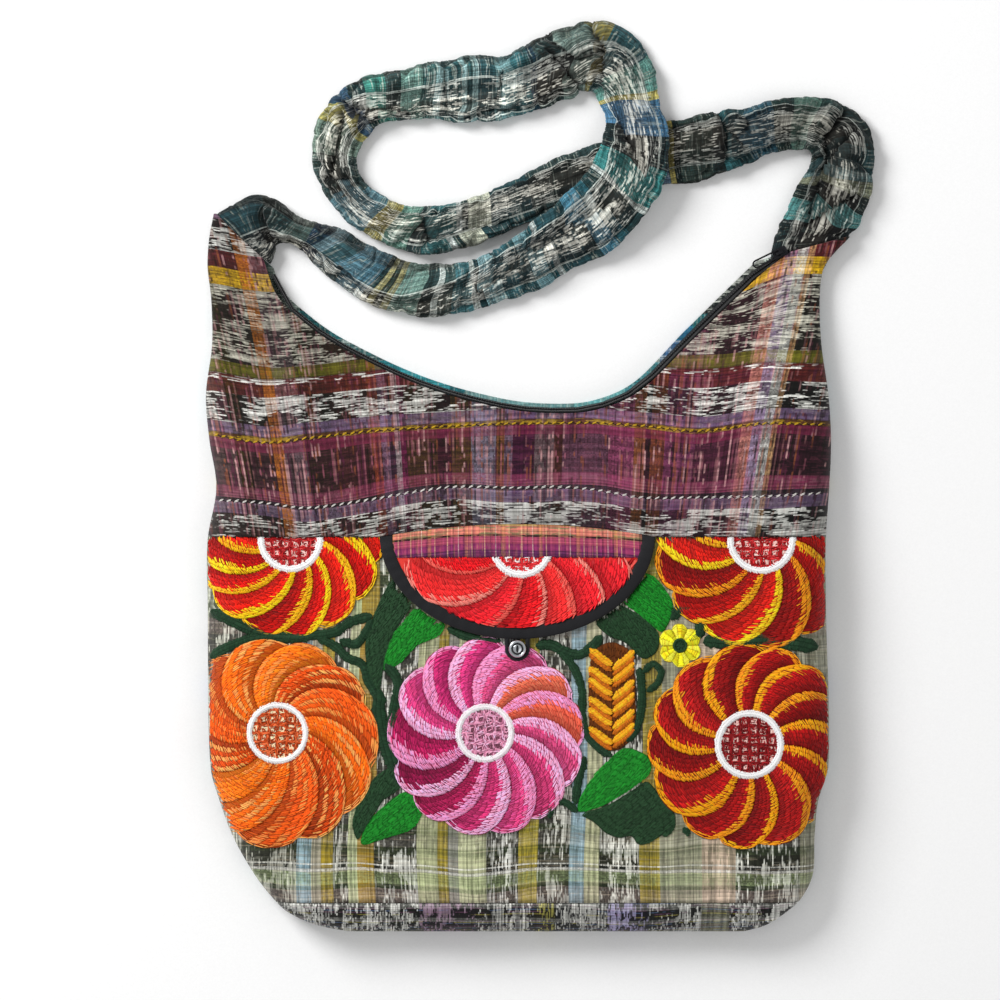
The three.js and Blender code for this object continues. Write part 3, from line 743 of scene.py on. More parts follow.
    def columns(self, edge_steps: int, flat_steps: int) -> tuple[Grid, Grid, Grid]:
        """Columns across the pouch.

        Args:
            edge_steps: columns round each edge.
            flat_steps: columns on the flat.

        Returns:
            For each column its side (-1, 0 or 1), its turn round the edge, and its share of the flat.
        """
        turn = np.linspace(0, math.pi / 2, edge_steps)
        flat = np.linspace(0.034, 0.991, flat_steps)
        side = np.concatenate([np.full(edge_steps, -1), np.zeros(flat_steps), np.full(edge_steps, 1)])
        turns = np.concatenate([turn, np.full(flat_steps, math.pi / 2), turn[::-1]])
        share = np.concatenate([np.zeros(edge_steps), flat, np.ones(edge_steps)])
        return side, turns, share

    def column_x(self, columns: tuple, y: Grid, edge: float) -> Grid:
        """Place across of each column at the heights y, for an edge that rounds over in a distance."""
        side, turn, share = columns
        inset = edge * (1 - np.cos(turn))
        low, high = self.left(y), self.right(y)
        flat = low + edge + (high - low - 2 * edge) * share
        return np.where(side < 0, low + inset, np.where(side > 0, high - inset, flat))

    def column_top(self, columns: tuple, edge: float, top: Callable) -> Grid:
        """Height at which each column meets the top."""
        y = np.full(len(columns[0]), float(self.yoke_y))
        for _ in range(16):
            y = top(self.column_x(columns, y, edge))
        return y

    def outward(self, columns: tuple, base_turn: Grid | float, up: float) -> Grid:
        """Direction out of the cloth at each column, with the rounding of the base."""
        side, turn, _ = columns
        lift = up * np.sin(turn) * np.sin(base_turn)
        parts = (side * np.cos(turn), -np.cos(base_turn) * np.ones_like(turn), lift)
        return unit(np.stack(np.broadcast_arrays(*parts), axis=-1))


def weave_uv(x: Grid, y: Grid, sway: float = 0.0, seed: float = 0.0) -> Grid:
    """UV in metres of cloth whose threads sway a little from the lines of x and y."""
    u = x + sway * ripple(x, y, 70, seed + 2.5)
    v = y + sway * (ripple(x, y, 60, seed) + 0.4 * ripple(x, y, 22, seed + 9.5))
    return np.stack([u * MM, v * MM], axis=-1)


def dress(obj: Obj, material: Material, replaces: Sequence[str] = ()) -> None:
    """Gives a finished piece its material, the body it rides and the CAD nodes it stands for."""
    coat(obj.data, material)
    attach(obj, BODY)
    if replaces:
        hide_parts(*replaces)
    log.info("%s: %d faces", obj.name, len(obj.data.polygons))


@dataclass(frozen=True)
class Settle:
    """Cloth simulation of a cover that is a little too large for its padding, so that it wrinkles."""

    frames: int = 20
    grow: float = 0.10
    pressure: float = 1.5
    bend: float = 0.25
    cap: float = 2.6
    scale: float = 10.0
    quality: int = 6
    mass: float = 0.2
    damping: float = 2.0
    stretch: float = 14.0
    shear: float = 6.0

    def run(self, obj: Obj, held: Grid, loose: Grid) -> None:
        """Runs the simulation on a larger copy and takes its wrinkles over.

        Args:
            obj: the piece.
            held: how firmly each point is pinned, 0 to 1.
            loose: how far each point may move, as a share of the cap.
        """
        copy = link(f"{obj.name}_settling", obj.data.copy())
        rest = places(copy.data)
        copy.data.vertices.foreach_set("co", (rest * self.scale).ravel())
        group = copy.vertex_groups.new(name="held")
        for level in np.unique(np.round(held, 2)):
            group.add(np.flatnonzero(np.round(held, 2) == level).tolist(), float(level), "REPLACE")
        cloth = copy.modifiers.new("cover", "CLOTH")
        setting = cloth.settings
        setting.quality, setting.mass, setting.air_damping = self.quality, self.mass, self.damping
        setting.tension_stiffness = setting.compression_stiffness = self.stretch
        setting.shear_stiffness, setting.bending_stiffness = self.shear, self.bend
        setting.use_pressure, setting.uniform_pressure_force = True, self.pressure
        setting.shrink_min = -self.grow
        setting.vertex_group_mass, setting.pin_stiffness = "held", 1.0
        setting.effector_weights.gravity = 0
        cloth.collision_settings.use_collision = False
        cloth.point_cache.frame_end = self.frames
        for step in range(1, self.frames + 1):
            bpy.context.scene.frame_set(step)
        made = copy.evaluated_get(bpy.context.evaluated_depsgraph_get()).to_mesh()
        shift = places(made) / self.scale - rest
        far = np.linalg.norm(shift, axis=1, keepdims=True)
        limit = self.cap * MM * loose.reshape(-1, 1)
        shift *= limit * np.tanh(far / np.maximum(limit, 1e-9)) / np.maximum(far, 1e-9)
        obj.data.vertices.foreach_set("co", (rest + shift).ravel())
        obj.data.update()
        bpy.data.objects.remove(copy)
        bpy.context.scene.frame_set(1)
        log.info("%s: settled, up to %.1f mm", obj.name, far.max() / MM)


# Cloth walls of the pouch


class Strand(NamedTuple):
    """A strand of a corded line: offset, start and end in pitches, lean in mm, and light (0) or dark (1)."""

    side: float
    first: float
    last: float
    lean: float
    shade: int


@dataclass
class Walls:
    """Yoke, pocket panel, base and back: the sewn cloth walls of the pouch."""

    pouch: Pouch
    edge_steps: int = 11
    flat_steps: int = 240
    yoke_rows: int = 100
    crinkle: float = 0.9
    crinkle_from: float = 86.0
    crinkle_reach: float = 10.0
    panel_rows: int = 78
    base_rows: int = 31
    base_radius: float = 20.0
    back_rows: int = 60
    hem_lap: float = 1.2
    hem_lift: float = 1.9
    hem_reach: float = 9.0
    lean: float = 0.18
    tilt: float = 0.55
    horn_at: float = 152.0
    horn_soft: float = 6.0
    horn_reach: float = 26.0
    horn_x: float = 90.0
    horn_y: float = 190.0
    horn_ease: float = 20.0
    lean_at: float = 150.0
    lean_from: float = 110.0
    sag_low: float = 98.0
    sag_high: float = 132.0
    sag: tuple[tuple[float, float, float], ...] = (
        (-175, 1.0, 4.0), (-145, -0.8, -0.8), (-120, -3.7, 1.6), (-85, 1.0, 5.7), (-40, 8.1, 8.6),
        (0, 7.8, 10.3), (22, 8.3, 10.5), (45, 6.5, 10.6), (70, 2.3, 8.9), (103, 2.3, 5.9),
        (140, 2.9, 10.0), (173, 4.7, 9.5),
    )
    # Painted shade across the yoke's horns: darker on the left, standing for the shade of its creases,
    # lighter on the right
    horn_shade: Pairs = ((-178, 0.84), (-110, 0.8), (-50, 0.95), (60, 1.0), (110, 1.1), (178, 1.18))
    horn_shade_from: float = 140.0
    horn_shade_reach: float = 35.0
    cord_pitch: float = 4.6
    cord_inset: float = 3.0
    cords: tuple[tuple[int, float, str, str], ...] = (
        (0, 97.0, "#d8d4ce", "#1a1418"), (1, 131.4, "#c8a224", "#241a10"),
    )
    strands: tuple[Strand, ...] = table(
        Strand,
        (-0.3, 0.0, 0.6, 0.55, 0), (0.25, 0.05, 0.62, 0.5, 0), (-0.2, 0.5, 1.05, -0.45, 1),
    )

    def build(self) -> None:
        """Makes and dresses the four walls."""
        columns = self.pouch.columns(self.edge_steps, self.flat_steps)
        middle = self.pouch.column_x(columns, self.pouch.yoke_y, self.pouch.front_edge)
        seam = self.pouch.yoke_seam(middle)
        top = self.pouch.column_top(columns, self.pouch.front_edge, self.pouch.front_top)
        yoke = self._front("yoke", columns, seam - self.hem_lap, top, self.yoke_rows, seam)
        self._paint_horn_shade(yoke)
        dress(yoke, YOKE_COTTON.build(), ["front_yoke"])
        self._cords()
        foot = np.full(len(middle), self.pouch.base_front_y + self.pouch.seam_gap)
        head = seam - self.pouch.seam_gap / 2
        panel = self._front("pocket_panel", columns, foot, head, self.panel_rows, None)
        dress(panel, PANEL_COTTON.build(), ["front_pocket_panel"])
        dress(self._base(columns), BASE_COTTON.build(), ["base_gusset"])
        dress(self._back(columns), BACK_COTTON.build(), ["back_panel"])

    def _front(
        self, name: str, columns: tuple, low: Grid, high: Grid, rows: int, hem: Grid | None
    ) -> Obj:
        """One wall of the front.

        Args:
            name: name of the piece.
            columns: the pouch's columns.
            low: where each column starts.
            high: where each column ends.
            rows: number of rows of points.
            hem: the seam that a lapped hem at the lower edge lies over, or nothing.

        Returns:
            The wall.
        """
        y = low + (high - low) * np.linspace(0, 1, rows)[:, None]
        x = self.pouch.column_x(columns, y, self.pouch.front_edge)
        side = np.sin(columns[1])
        z = self.pouch.front_z(x, y, side)
        if hem is not None:
            z = z + side * self.hem_lift * ease((hem + self.hem_reach - y) / self.hem_reach)
            z = z - side * self._crinkles(x, y)
        outer = np.stack([x, y, z], axis=-1)
        inner = outer - self.pouch.outward(columns, math.pi / 2, 1) * self.pouch.wall
        uv = weave_uv(x, y, 2.2) if hem is None else self._yoke_weave(x, y)
        return slab(name, outer, inner, grid_faces(*x.shape), uv)

    def _crinkles(self, x: Grid, y: Grid) -> Grid:
        """Depth of the fine creases that run up the yoke, which fade out towards its hem."""
        upright = np.abs(ripple(x, y * 0.28, 5.5, 31.5))
        slanting = np.abs(ripple(x + 0.3 * y, y * 0.35, 9, 33.5))
        sharp = (1 - np.minimum(upright + 0.7 * slanting, 1)) ** 2
        return self.crinkle * sharp * ease((y - self.crinkle_from) / self.crinkle_reach)

    def _paint_horn_shade(self, yoke: Obj) -> None:
        """Stores painted shade and light on the yoke's horns: darker on the left, lighter on the right."""
        x, y, _ = places(yoke.data).T / MM
        tone = np.interp(x, *zip(*self.horn_shade))
        store(yoke.data, "tone_and_shade", "FLOAT", 1 + (tone - 1) * ease((y - self.horn_shade_from) / self.horn_shade_reach))

    def _sags(self, x: Grid) -> tuple[Grid, Grid]:
        """How far the yoke's cross threads are lifted at x, low and high on the yoke."""
        key = [row[0] for row in self.sag]
        return tuple(through(key, [row[k] for row in self.sag], x) for k in (1, 2))

    def _cords(self) -> None:
        """Sews the two corded lines across the yoke: slanting light stitches with dark ones between."""
        rng = np.random.default_rng(SEED)
        ends: list[Grid] = []
        tints: list[Grid] = []
        for level, height, *shades in self.cords:
            low, high = self.pouch.left(height) + self.cord_inset, self.pouch.right(height) - self.cord_inset
            step = np.arange(low, high - self.cord_pitch, self.cord_pitch)
            for strand in self.strands:
                pair = []
                for share, lean in ((strand.first, -strand.lean), (strand.last, strand.lean)):
                    x = step + share * self.cord_pitch
                    y = height + self._sags(x)[level] + strand.side + lean + rng.normal(0, 0.12, len(x))
                    pair.append(np.stack([x, y, self.pouch.top_z(x, y) + 0.25], axis=-1))
                ends.append(np.stack(pair))
                tints.append(linear(shades[strand.shade]) * rng.uniform(0.75, 1.1, (len(step), 1)))
        a, b = np.concatenate(ends, axis=1)
        sew("yoke_cords", a, b, np.concatenate(tints), FLOSS.build(), 0.55, 0.6)

    def _yoke_weave(self, x: Grid, y: Grid) -> Grid:
        """UV of the yoke, whose cross threads sag and whose long threads lean out to the sides."""
        low, high = self._sags(x)
        share = np.clip((y - self.sag_low) / (self.sag_high - self.sag_low), 0, 1)
        slant = self.lean * x / self.lean_at * (y - self.lean_from)
        near = np.logaddexp(0, (self.horn_at - x) / self.horn_soft) * self.horn_soft
        rise = self.tilt * self.horn_reach * np.tanh(near / self.horn_reach)
        horn = rise * ease((x - self.horn_x) / self.horn_ease) * ease((y - self.horn_y) / self.horn_ease)
        return weave_uv(x - slant, y - low - (high - low) * share + horn, 1.2)

    def _base(self, columns: tuple) -> Obj:
        """The base band, turned from the front seam round the bottom edge to the back seam."""
        p = self.pouch
        turn = np.radians(np.linspace(90, -90, self.base_rows))[:, None]
        front, lift = turn >= 0, np.sin(np.abs(turn))
        y = p.base_y + (np.where(front, p.base_front_y, p.base_back_y) - p.base_y) * (1 - np.cos(turn))
        y = y + np.zeros(len(columns[0]))
        near, far = p.column_x(columns, y, p.front_edge), p.column_x(columns, y, p.back_edge)
        x = np.where(front, near, near + (far - near) * lift)
        side = np.sin(columns[1])
        back = (p.seam + p.seam_gap * (0.5 - lift)) * (1 - side * lift)
        z = np.where(front, p.front_z(x, y, side, lift), back)
        outer = np.stack([x, y, z], axis=-1)
        inner = outer - p.outward(columns, turn, 1) * p.wall
        run = p.base_front_y - self.base_radius * (math.pi / 2 - turn) + np.zeros(x.shape)
        return slab("base", outer, inner, grid_faces(*x.shape), weave_uv(x, run, 2.0, 5.0))

    def _back(self, columns: tuple) -> Obj:
        """The back, flat on the floor and rounded up to the side seams."""
        p = self.pouch
        low = p.base_back_y + p.seam_gap
        high = p.column_top(columns, p.back_edge, p.back_top)
        y = low + (high - low) * np.linspace(0, 1, self.back_rows)[:, None]
        x = p.column_x(columns, y, p.back_edge)
        z = (p.seam - p.seam_gap / 2) * (1 - np.sin(columns[1])) + np.zeros(x.shape)
        outer = np.stack([x, y, z], axis=-1)
        inner = outer - p.outward(columns, math.pi / 2, -1) * p.wall
        return slab("back", outer, inner, grid_faces(*x.shape), weave_uv(x, y, 2.0, 8.0))


# Flap, its binding, button and loop


@dataclass
class Flap:
    """Half-moon flap over the pocket, bound in black, with its plaid strip, button and loop."""

    pouch: Pouch
    cloth: float = 1.0
    lift: float = 1.4
    sewn: float = 0.2
    sewn_reach: float = 14.0
    binding: float = 7.6
    strip_deep: float = 13.0
    strip_thick: float = 0.4
    button: tuple[float, float] = (-0.5, 13.3)
    loop_radius: float = 5.8
    loop_cord: float = 2.6
    loop_ends: float = 20.3
    bar_half: float = 2.1
    bar_high: float = 5.3
    button_turning: Pairs = (
        (0.2, 0.3), (2.2, 0.3), (2.2, 3.3), (4.2, 3.3), (4.7, 3.45), (5.0, 3.9), (5.0, 4.9), (4.8, 5.4),
        (4.4, 5.68), (4.0, 5.68), (3.65, 5.45), (3.4, 5.0), (2.6, 4.82), (1.4, 4.78), (0.2, 4.78),
    )
    well_turning: Pairs = ((0.2, 4.7), (3.55, 4.7), (3.55, 5.0), (0.2, 4.95))
    boss_turning: Pairs = ((0.2, 4.8), (2.5, 4.8), (2.5, 5.1), (2.2, 5.3), (0.2, 5.35))
    columns: int = 61
    rows: int = 30
    strip_rows: int = 12
    lap: float = 1.5

    def under(self, x: Grid, y: Grid) -> Grid:
        """Height of the flap's lower face, sewn down at the seam and loose below it."""
        gap = (self.pouch.yoke_seam(x) - y) / self.sewn_reach
        return self.pouch.top_z(x, y) + self.sewn + (self.lift - self.sewn) * ease(gap)

    def top(self, x: Grid, y: Grid) -> Grid:
        """Height of the flap's upper face."""
        return self.under(x, y) + self.cloth

    def inside(self, x: Grid, y: Grid, inset: float) -> Grid:
        """Whether places are on the flap, inset from its curved edge."""
        across, down = (x - FLAP_X) / (FLAP_HALF - inset), (y - self.pouch.yoke_y) / (FLAP_DEEP - inset)
        return across**2 + down**2 < 1

    def build(self) -> None:
        """Makes and dresses the flap's pieces."""
        dress(self._cloth(), CORAL_COTTON.build(), ["pocket_flap"])
        dress(self._strip(), PLAID_COTTON.build(), ["flap_top_strip"])
        black = BLACK_TWILL.build()
        dress(self._binding(), black, ["flap_binding"])
        dress(self._loop(), black, ["button_loop"])
        button = self._turned("shank_button", self.button_turning)
        dress(button, NICKEL.build(), ["flap_button"])
        dress(self._turned("button_well", self.well_turning), black)
        dress(self._turned("button_boss", self.boss_turning), NICKEL.build())
        dress(self._thread_bar(), black)

    def _sheet(self, name: str, x: Grid, y: Grid, low: Grid, high: Grid) -> Obj:
        """A sheet over a grid of places between two heights, its weave drawn half into the seam's arch."""
        outer, inner = np.stack([x, y, high], axis=-1), np.stack([x, y, low], axis=-1)
        drawn = (self.pouch.yoke_y + self.pouch.arch - self.pouch.yoke_seam(x)) / 2
        return slab(name, outer, inner, grid_faces(*x.shape), weave_uv(x, y + drawn, 0.8, 3.0))

    def _up(self, x: Grid, low: Grid | float) -> Grid:
        """Places from a lower edge up to the seam and a lap past it, for a grid of places across."""
        return low + (self.pouch.yoke_seam(x[0]) + self.lap - low) * np.linspace(0, 1, len(x))[:, None]

    def _cloth(self) -> Obj:
        """The flap's cloth, inside its binding."""
        share = 0.985 * np.sin(np.linspace(-0.5, 0.5, self.columns) * math.pi)
        x = FLAP_X + (FLAP_HALF - 4) * share + np.zeros((self.rows, 1))
        y = self._up(x, self.pouch.yoke_y - (FLAP_DEEP - 2) * np.sqrt(1 - share * share))
        return self._sheet("flap", x, y, self.under(x, y), self.top(x, y))

    def _strip(self) -> Obj:
        """The plaid strip over the flap's top."""
        half = FLAP_HALF * math.sqrt(1 - (self.strip_deep / FLAP_DEEP) ** 2) - self.binding + 2
        x = FLAP_X + half * np.linspace(-1, 1, self.columns) + np.zeros((self.strip_rows, 1))
        y = self._up(x, self.pouch.yoke_y - self.strip_deep)
        base = self.top(x, y)
        return self._sheet("flap_strip", x, y, base - 0.2, base + self.strip_thick)

    def _binding(self) -> Obj:
        """Bias tape folded over the curved edge, with a soft roll."""
        turn = np.radians(np.linspace(180.8, -0.8, 121))
        across = np.linspace(0, 1, 9)
        tuck = ease(np.sin(turn) * 6 + 0.1)[:, None]
        roll = self.cloth + 0.1 + tuck * (0.25 + 0.75 * (1 - np.abs(2 * across - 1) ** 3))
        inset = np.concatenate([self.binding * across, [self.binding, 0.0]])
        above = np.concatenate([roll, np.full((len(turn), 2), -0.3)], axis=1)
        out = unit(np.stack([np.cos(turn) / FLAP_HALF, -np.sin(turn) / FLAP_DEEP], axis=-1))
        x = (FLAP_X + FLAP_HALF * np.cos(turn))[:, None] - out[:, :1] * inset
        y = (self.pouch.yoke_y - FLAP_DEEP * np.sin(turn))[:, None] - out[:, 1:] * inset
        pucker = 0.18 * np.sin(turn * 61)[:, None] * (above > 0)
        return tube("flap_binding_tape", np.stack([x, y, self.under(x, y) + above + pucker], axis=-1))

    def _loop(self) -> Obj:
        """Cord loop from under the flap round the button."""
        bend = np.radians(np.linspace(0, -180, 33))
        bx, by = self.button
        x = np.concatenate([[bx + self.loop_radius] * 6, bx + self.loop_radius * np.cos(bend)])
        y = np.concatenate([np.linspace(self.loop_ends, by + 0.5, 6), by + self.loop_radius * np.sin(bend)])
        x = np.concatenate([x, [bx - self.loop_radius] * 6])
        y = np.concatenate([y, np.linspace(by + 0.5, self.loop_ends, 6)])
        way = unit(np.stack([np.gradient(x), np.gradient(y)], axis=-1))
        ring = around(12)
        step = np.arange(len(x))[:, None]
        radius = self.loop_cord / 2 * (1 + 0.07 * np.sin(step * 1.9 + 2 * ring))
        px = x[:, None] + way[:, 1:] * radius * np.cos(ring)
        py = y[:, None] - way[:, :1] * radius * np.cos(ring)
        base = self.pouch.top_z(x, y)[:, None] + 0.3 + self.loop_cord / 2
        return tube("button_cord_loop", np.stack([px, py, base + radius * np.sin(ring)], axis=-1))

    def _turned(self, name: str, turning: Sequence[tuple[float, float]]) -> Obj:
        """A round piece about the button's middle, from radii and heights over the panel."""
        radius, height = np.array(turning).T[..., None]
        plan = polar(*self.button, radius, around(40))
        high = np.broadcast_to(self._panel_z() + height, plan.shape[:2])
        return tube(name, np.concatenate([plan, high[..., None]], axis=-1))

    def _panel_z(self) -> float:
        """Height of the panel under the button."""
        return float(self.pouch.top_z(*map(np.array, self.button)))

    def _thread_bar(self) -> Obj:
        """Bar of sewing thread across the button's boss."""
        bx, by = self.button
        run = np.linspace(-self.bar_half, self.bar_half, 15)
        ring = around(10)
        base = self._panel_z() + self.bar_high
        thin = 0.75 * np.sqrt(1 - (run / (self.bar_half + 0.1)) ** 2)[:, None]
        x = bx + thin * np.cos(ring)
        y = by + run[:, None] + np.zeros(x.shape)
        return tube("button_thread", np.stack([x, y, base + 0.5 * thin * np.sin(ring)], axis=-1))


# Embroidery


class Needle:
    """Sews one patch of embroidery: satin stitches over raised padding."""

    slot = "jaspe_olive"
    gain = 1.25

    def __init__(self, name: str, surface: Callable, keep: Callable, seed: int) -> None:
        self.name, self.surface, self.keep = name, surface, keep
        self.rng = np.random.default_rng(seed)
        self.rows: list[Grid] = []
        self.beds: list[tuple[Grid, Grid, list]] = []
        self.count = 0

    def colours(self, shades: Sequence[str], pick: Grid, spread: float = 0.09) -> Grid:
        """Linear colours of picked threads, each a little lighter or darker than its shade."""
        base = np.array([linear(shade) for shade in shades])[pick]
        light = (1 + spread * self.rng.normal(size=(*np.shape(pick), 1))).clip(0.5, 1.5)
        return np.minimum(self.gain * base * light, 0.92)

    def stitch(self, a: Grid, b: Grid, high_a: Grid, high_b: Grid, colour: Grid) -> None:
        """Adds stitches between pairs of places.

        Args:
            a: first end of each stitch, x and y.
            b: second end.
            high_a: height of the first end above the cloth.
            high_b: height of the second end.
            colour: linear colour of each stitch.
        """
        flat = [np.asarray(v).reshape(-1, v.shape[-1]) for v in (a, b, colour)]
        high = [np.broadcast_to(h, a.shape[:-1]).reshape(-1, 1) for h in (high_a, high_b)]
        self.rows.append(np.concatenate([flat[0], high[0], flat[1], high[1], flat[2]], axis=1))

    def pad(self, x: Grid, y: Grid, high: Grid, faces: list, colour: Grid) -> None:
        """Adds padding over a set of places, where the patch has room for it, with its faces turned up."""
        px, py = np.ravel(x), np.ravel(y)
        free = self.keep(px, py)
        kept = [f for f in faces if all(free[i] for i in f)]
        turn = sum(px[f[k - 1]] * py[f[k]] - px[f[k]] * py[f[k - 1]] for f in kept for k in range(len(f)))
        order = 1 if turn > 0 else -1
        self.beds.append(
            (
                np.stack([px, py, self.surface(px, py) + np.ravel(high)], axis=-1),
                np.broadcast_to(colour, (*np.shape(x), 3)).reshape(-1, 3),
                [tuple(i + self.count for i in f[::order]) for f in kept],
            )
        )
        self.count += len(px)

    def finish(self) -> None:
        """Turns the collected padding and stitches into two meshes."""
        rows = np.concatenate(self.rows)
        rows = rows[self.keep(rows[:, 0], rows[:, 1]) & self.keep(rows[:, 3], rows[:, 4])]
        a, b = rows[:, 0:3].copy(), rows[:, 3:6].copy()
        a[:, 2] += self.surface(a[:, 0], a[:, 1])
        b[:, 2] += self.surface(b[:, 0], b[:, 1])
        sew(f"{self.name}_stitches", a, b, rows[:, 6:9], FLOSS.build())
        top = np.concatenate([bed[0] for bed in self.beds])
        low = np.column_stack([top[:, :2], self.surface(top[:, 0], top[:, 1]) - 0.3])
        faces = [f for bed in self.beds for f in bed[2]]
        thread = np.concatenate([bed[1] for bed in self.beds])
        dress(slab(f"{self.name}_padding", top, low, faces, thread=thread), FLOSS.build())


def stitch_tree() -> bpy.types.NodeTree:
    """Node tree that lays one slim bead of thread on every point, along and up as the point says."""
    tree = bpy.data.node_groups.get("satin_stitches")
    if tree is not None:
        return tree
    tree = bpy.data.node_groups.new("satin_stitches", "GeometryNodeTree")
    sockets = {"Points": "Geometry", "Width": "Float", "Height": "Float", "Thread": "Material"}
    for name, kind in sockets.items():
        tree.interface.new_socket(name, in_out="INPUT", socket_type=f"NodeSocket{kind}")
    tree.interface.new_socket("Stitches", in_out="OUTPUT", socket_type="NodeSocketGeometry")
    g = Graph(tree)
    given = g.add("NodeGroupInput").outputs
    along = g.add("GeometryNodeInputNamedAttribute", "along", data_type="FLOAT_VECTOR")
    up = g.add("GeometryNodeInputNamedAttribute", "up", data_type="FLOAT_VECTOR")
    length = g.add("GeometryNodeInputNamedAttribute", "length", data_type="FLOAT")
    turn = g.add("FunctionNodeAxesToRotation", along, up, primary_axis="Z", secondary_axis="X")
    size = g.add("ShaderNodeCombineXYZ", given["Height"], given["Width"], length)
    bead = g.add("GeometryNodeSetShadeSmooth", g.add("GeometryNodeMeshUVSphere", 4, 3, 0.5))
    laid = g.add("GeometryNodeInstanceOnPoints", given["Points"], None, bead, None, None, turn, size)
    solid = g.add("GeometryNodeRealizeInstances", laid)
    g.add("NodeGroupOutput", g.add("GeometryNodeSetMaterial", solid, None, given["Thread"]))
    return tree


def sew(
    name: str,
    a: Points,
    b: Points,
    colour: Points,
    material: Material,
    width: float = 0.68,
    height: float = 0.5,
) -> None:
    """Lays stitches between pairs of points, as one mesh.

    Args:
        name: name of the piece.
        a: first ends in mm.
        b: second ends in mm.
        colour: linear colour of each stitch.
        material: the thread.
        width: width of a stitch in mm.
        height: height of a stitch in mm.
    """
    along = b - a
    length = np.linalg.norm(along, axis=1)
    mesh = bpy.data.meshes.new(name)
    mesh.from_pydata(((a + b) / 2 * MM).tolist(), [], [])
    store(mesh, "along", "FLOAT_VECTOR", along / length[:, None])
    store(mesh, "up", "FLOAT_VECTOR", np.tile([0.0, 0.0, 1.0], (len(a), 1)))
    store(mesh, "length", "FLOAT", (length * 1.12 + 0.3) * MM)
    store(mesh, "thread", "FLOAT_COLOR", np.column_stack([colour, np.ones(len(a))]))
    obj = link(name, mesh)
    modifier = obj.modifiers.new("stitches", "NODES")
    modifier.node_group = stitch_tree()
    values = {"Width": width * MM, "Height": height * MM, "Thread": material}
    for item in modifier.node_group.interface.items_tree:
        if item.name in values:
            modifier[item.identifier] = values[item.name]
    solid = bpy.data.meshes.new_from_object(obj.evaluated_get(bpy.context.evaluated_depsgraph_get()))
    obj.modifiers.remove(modifier)
    obj.data = solid
    dress(obj, material)


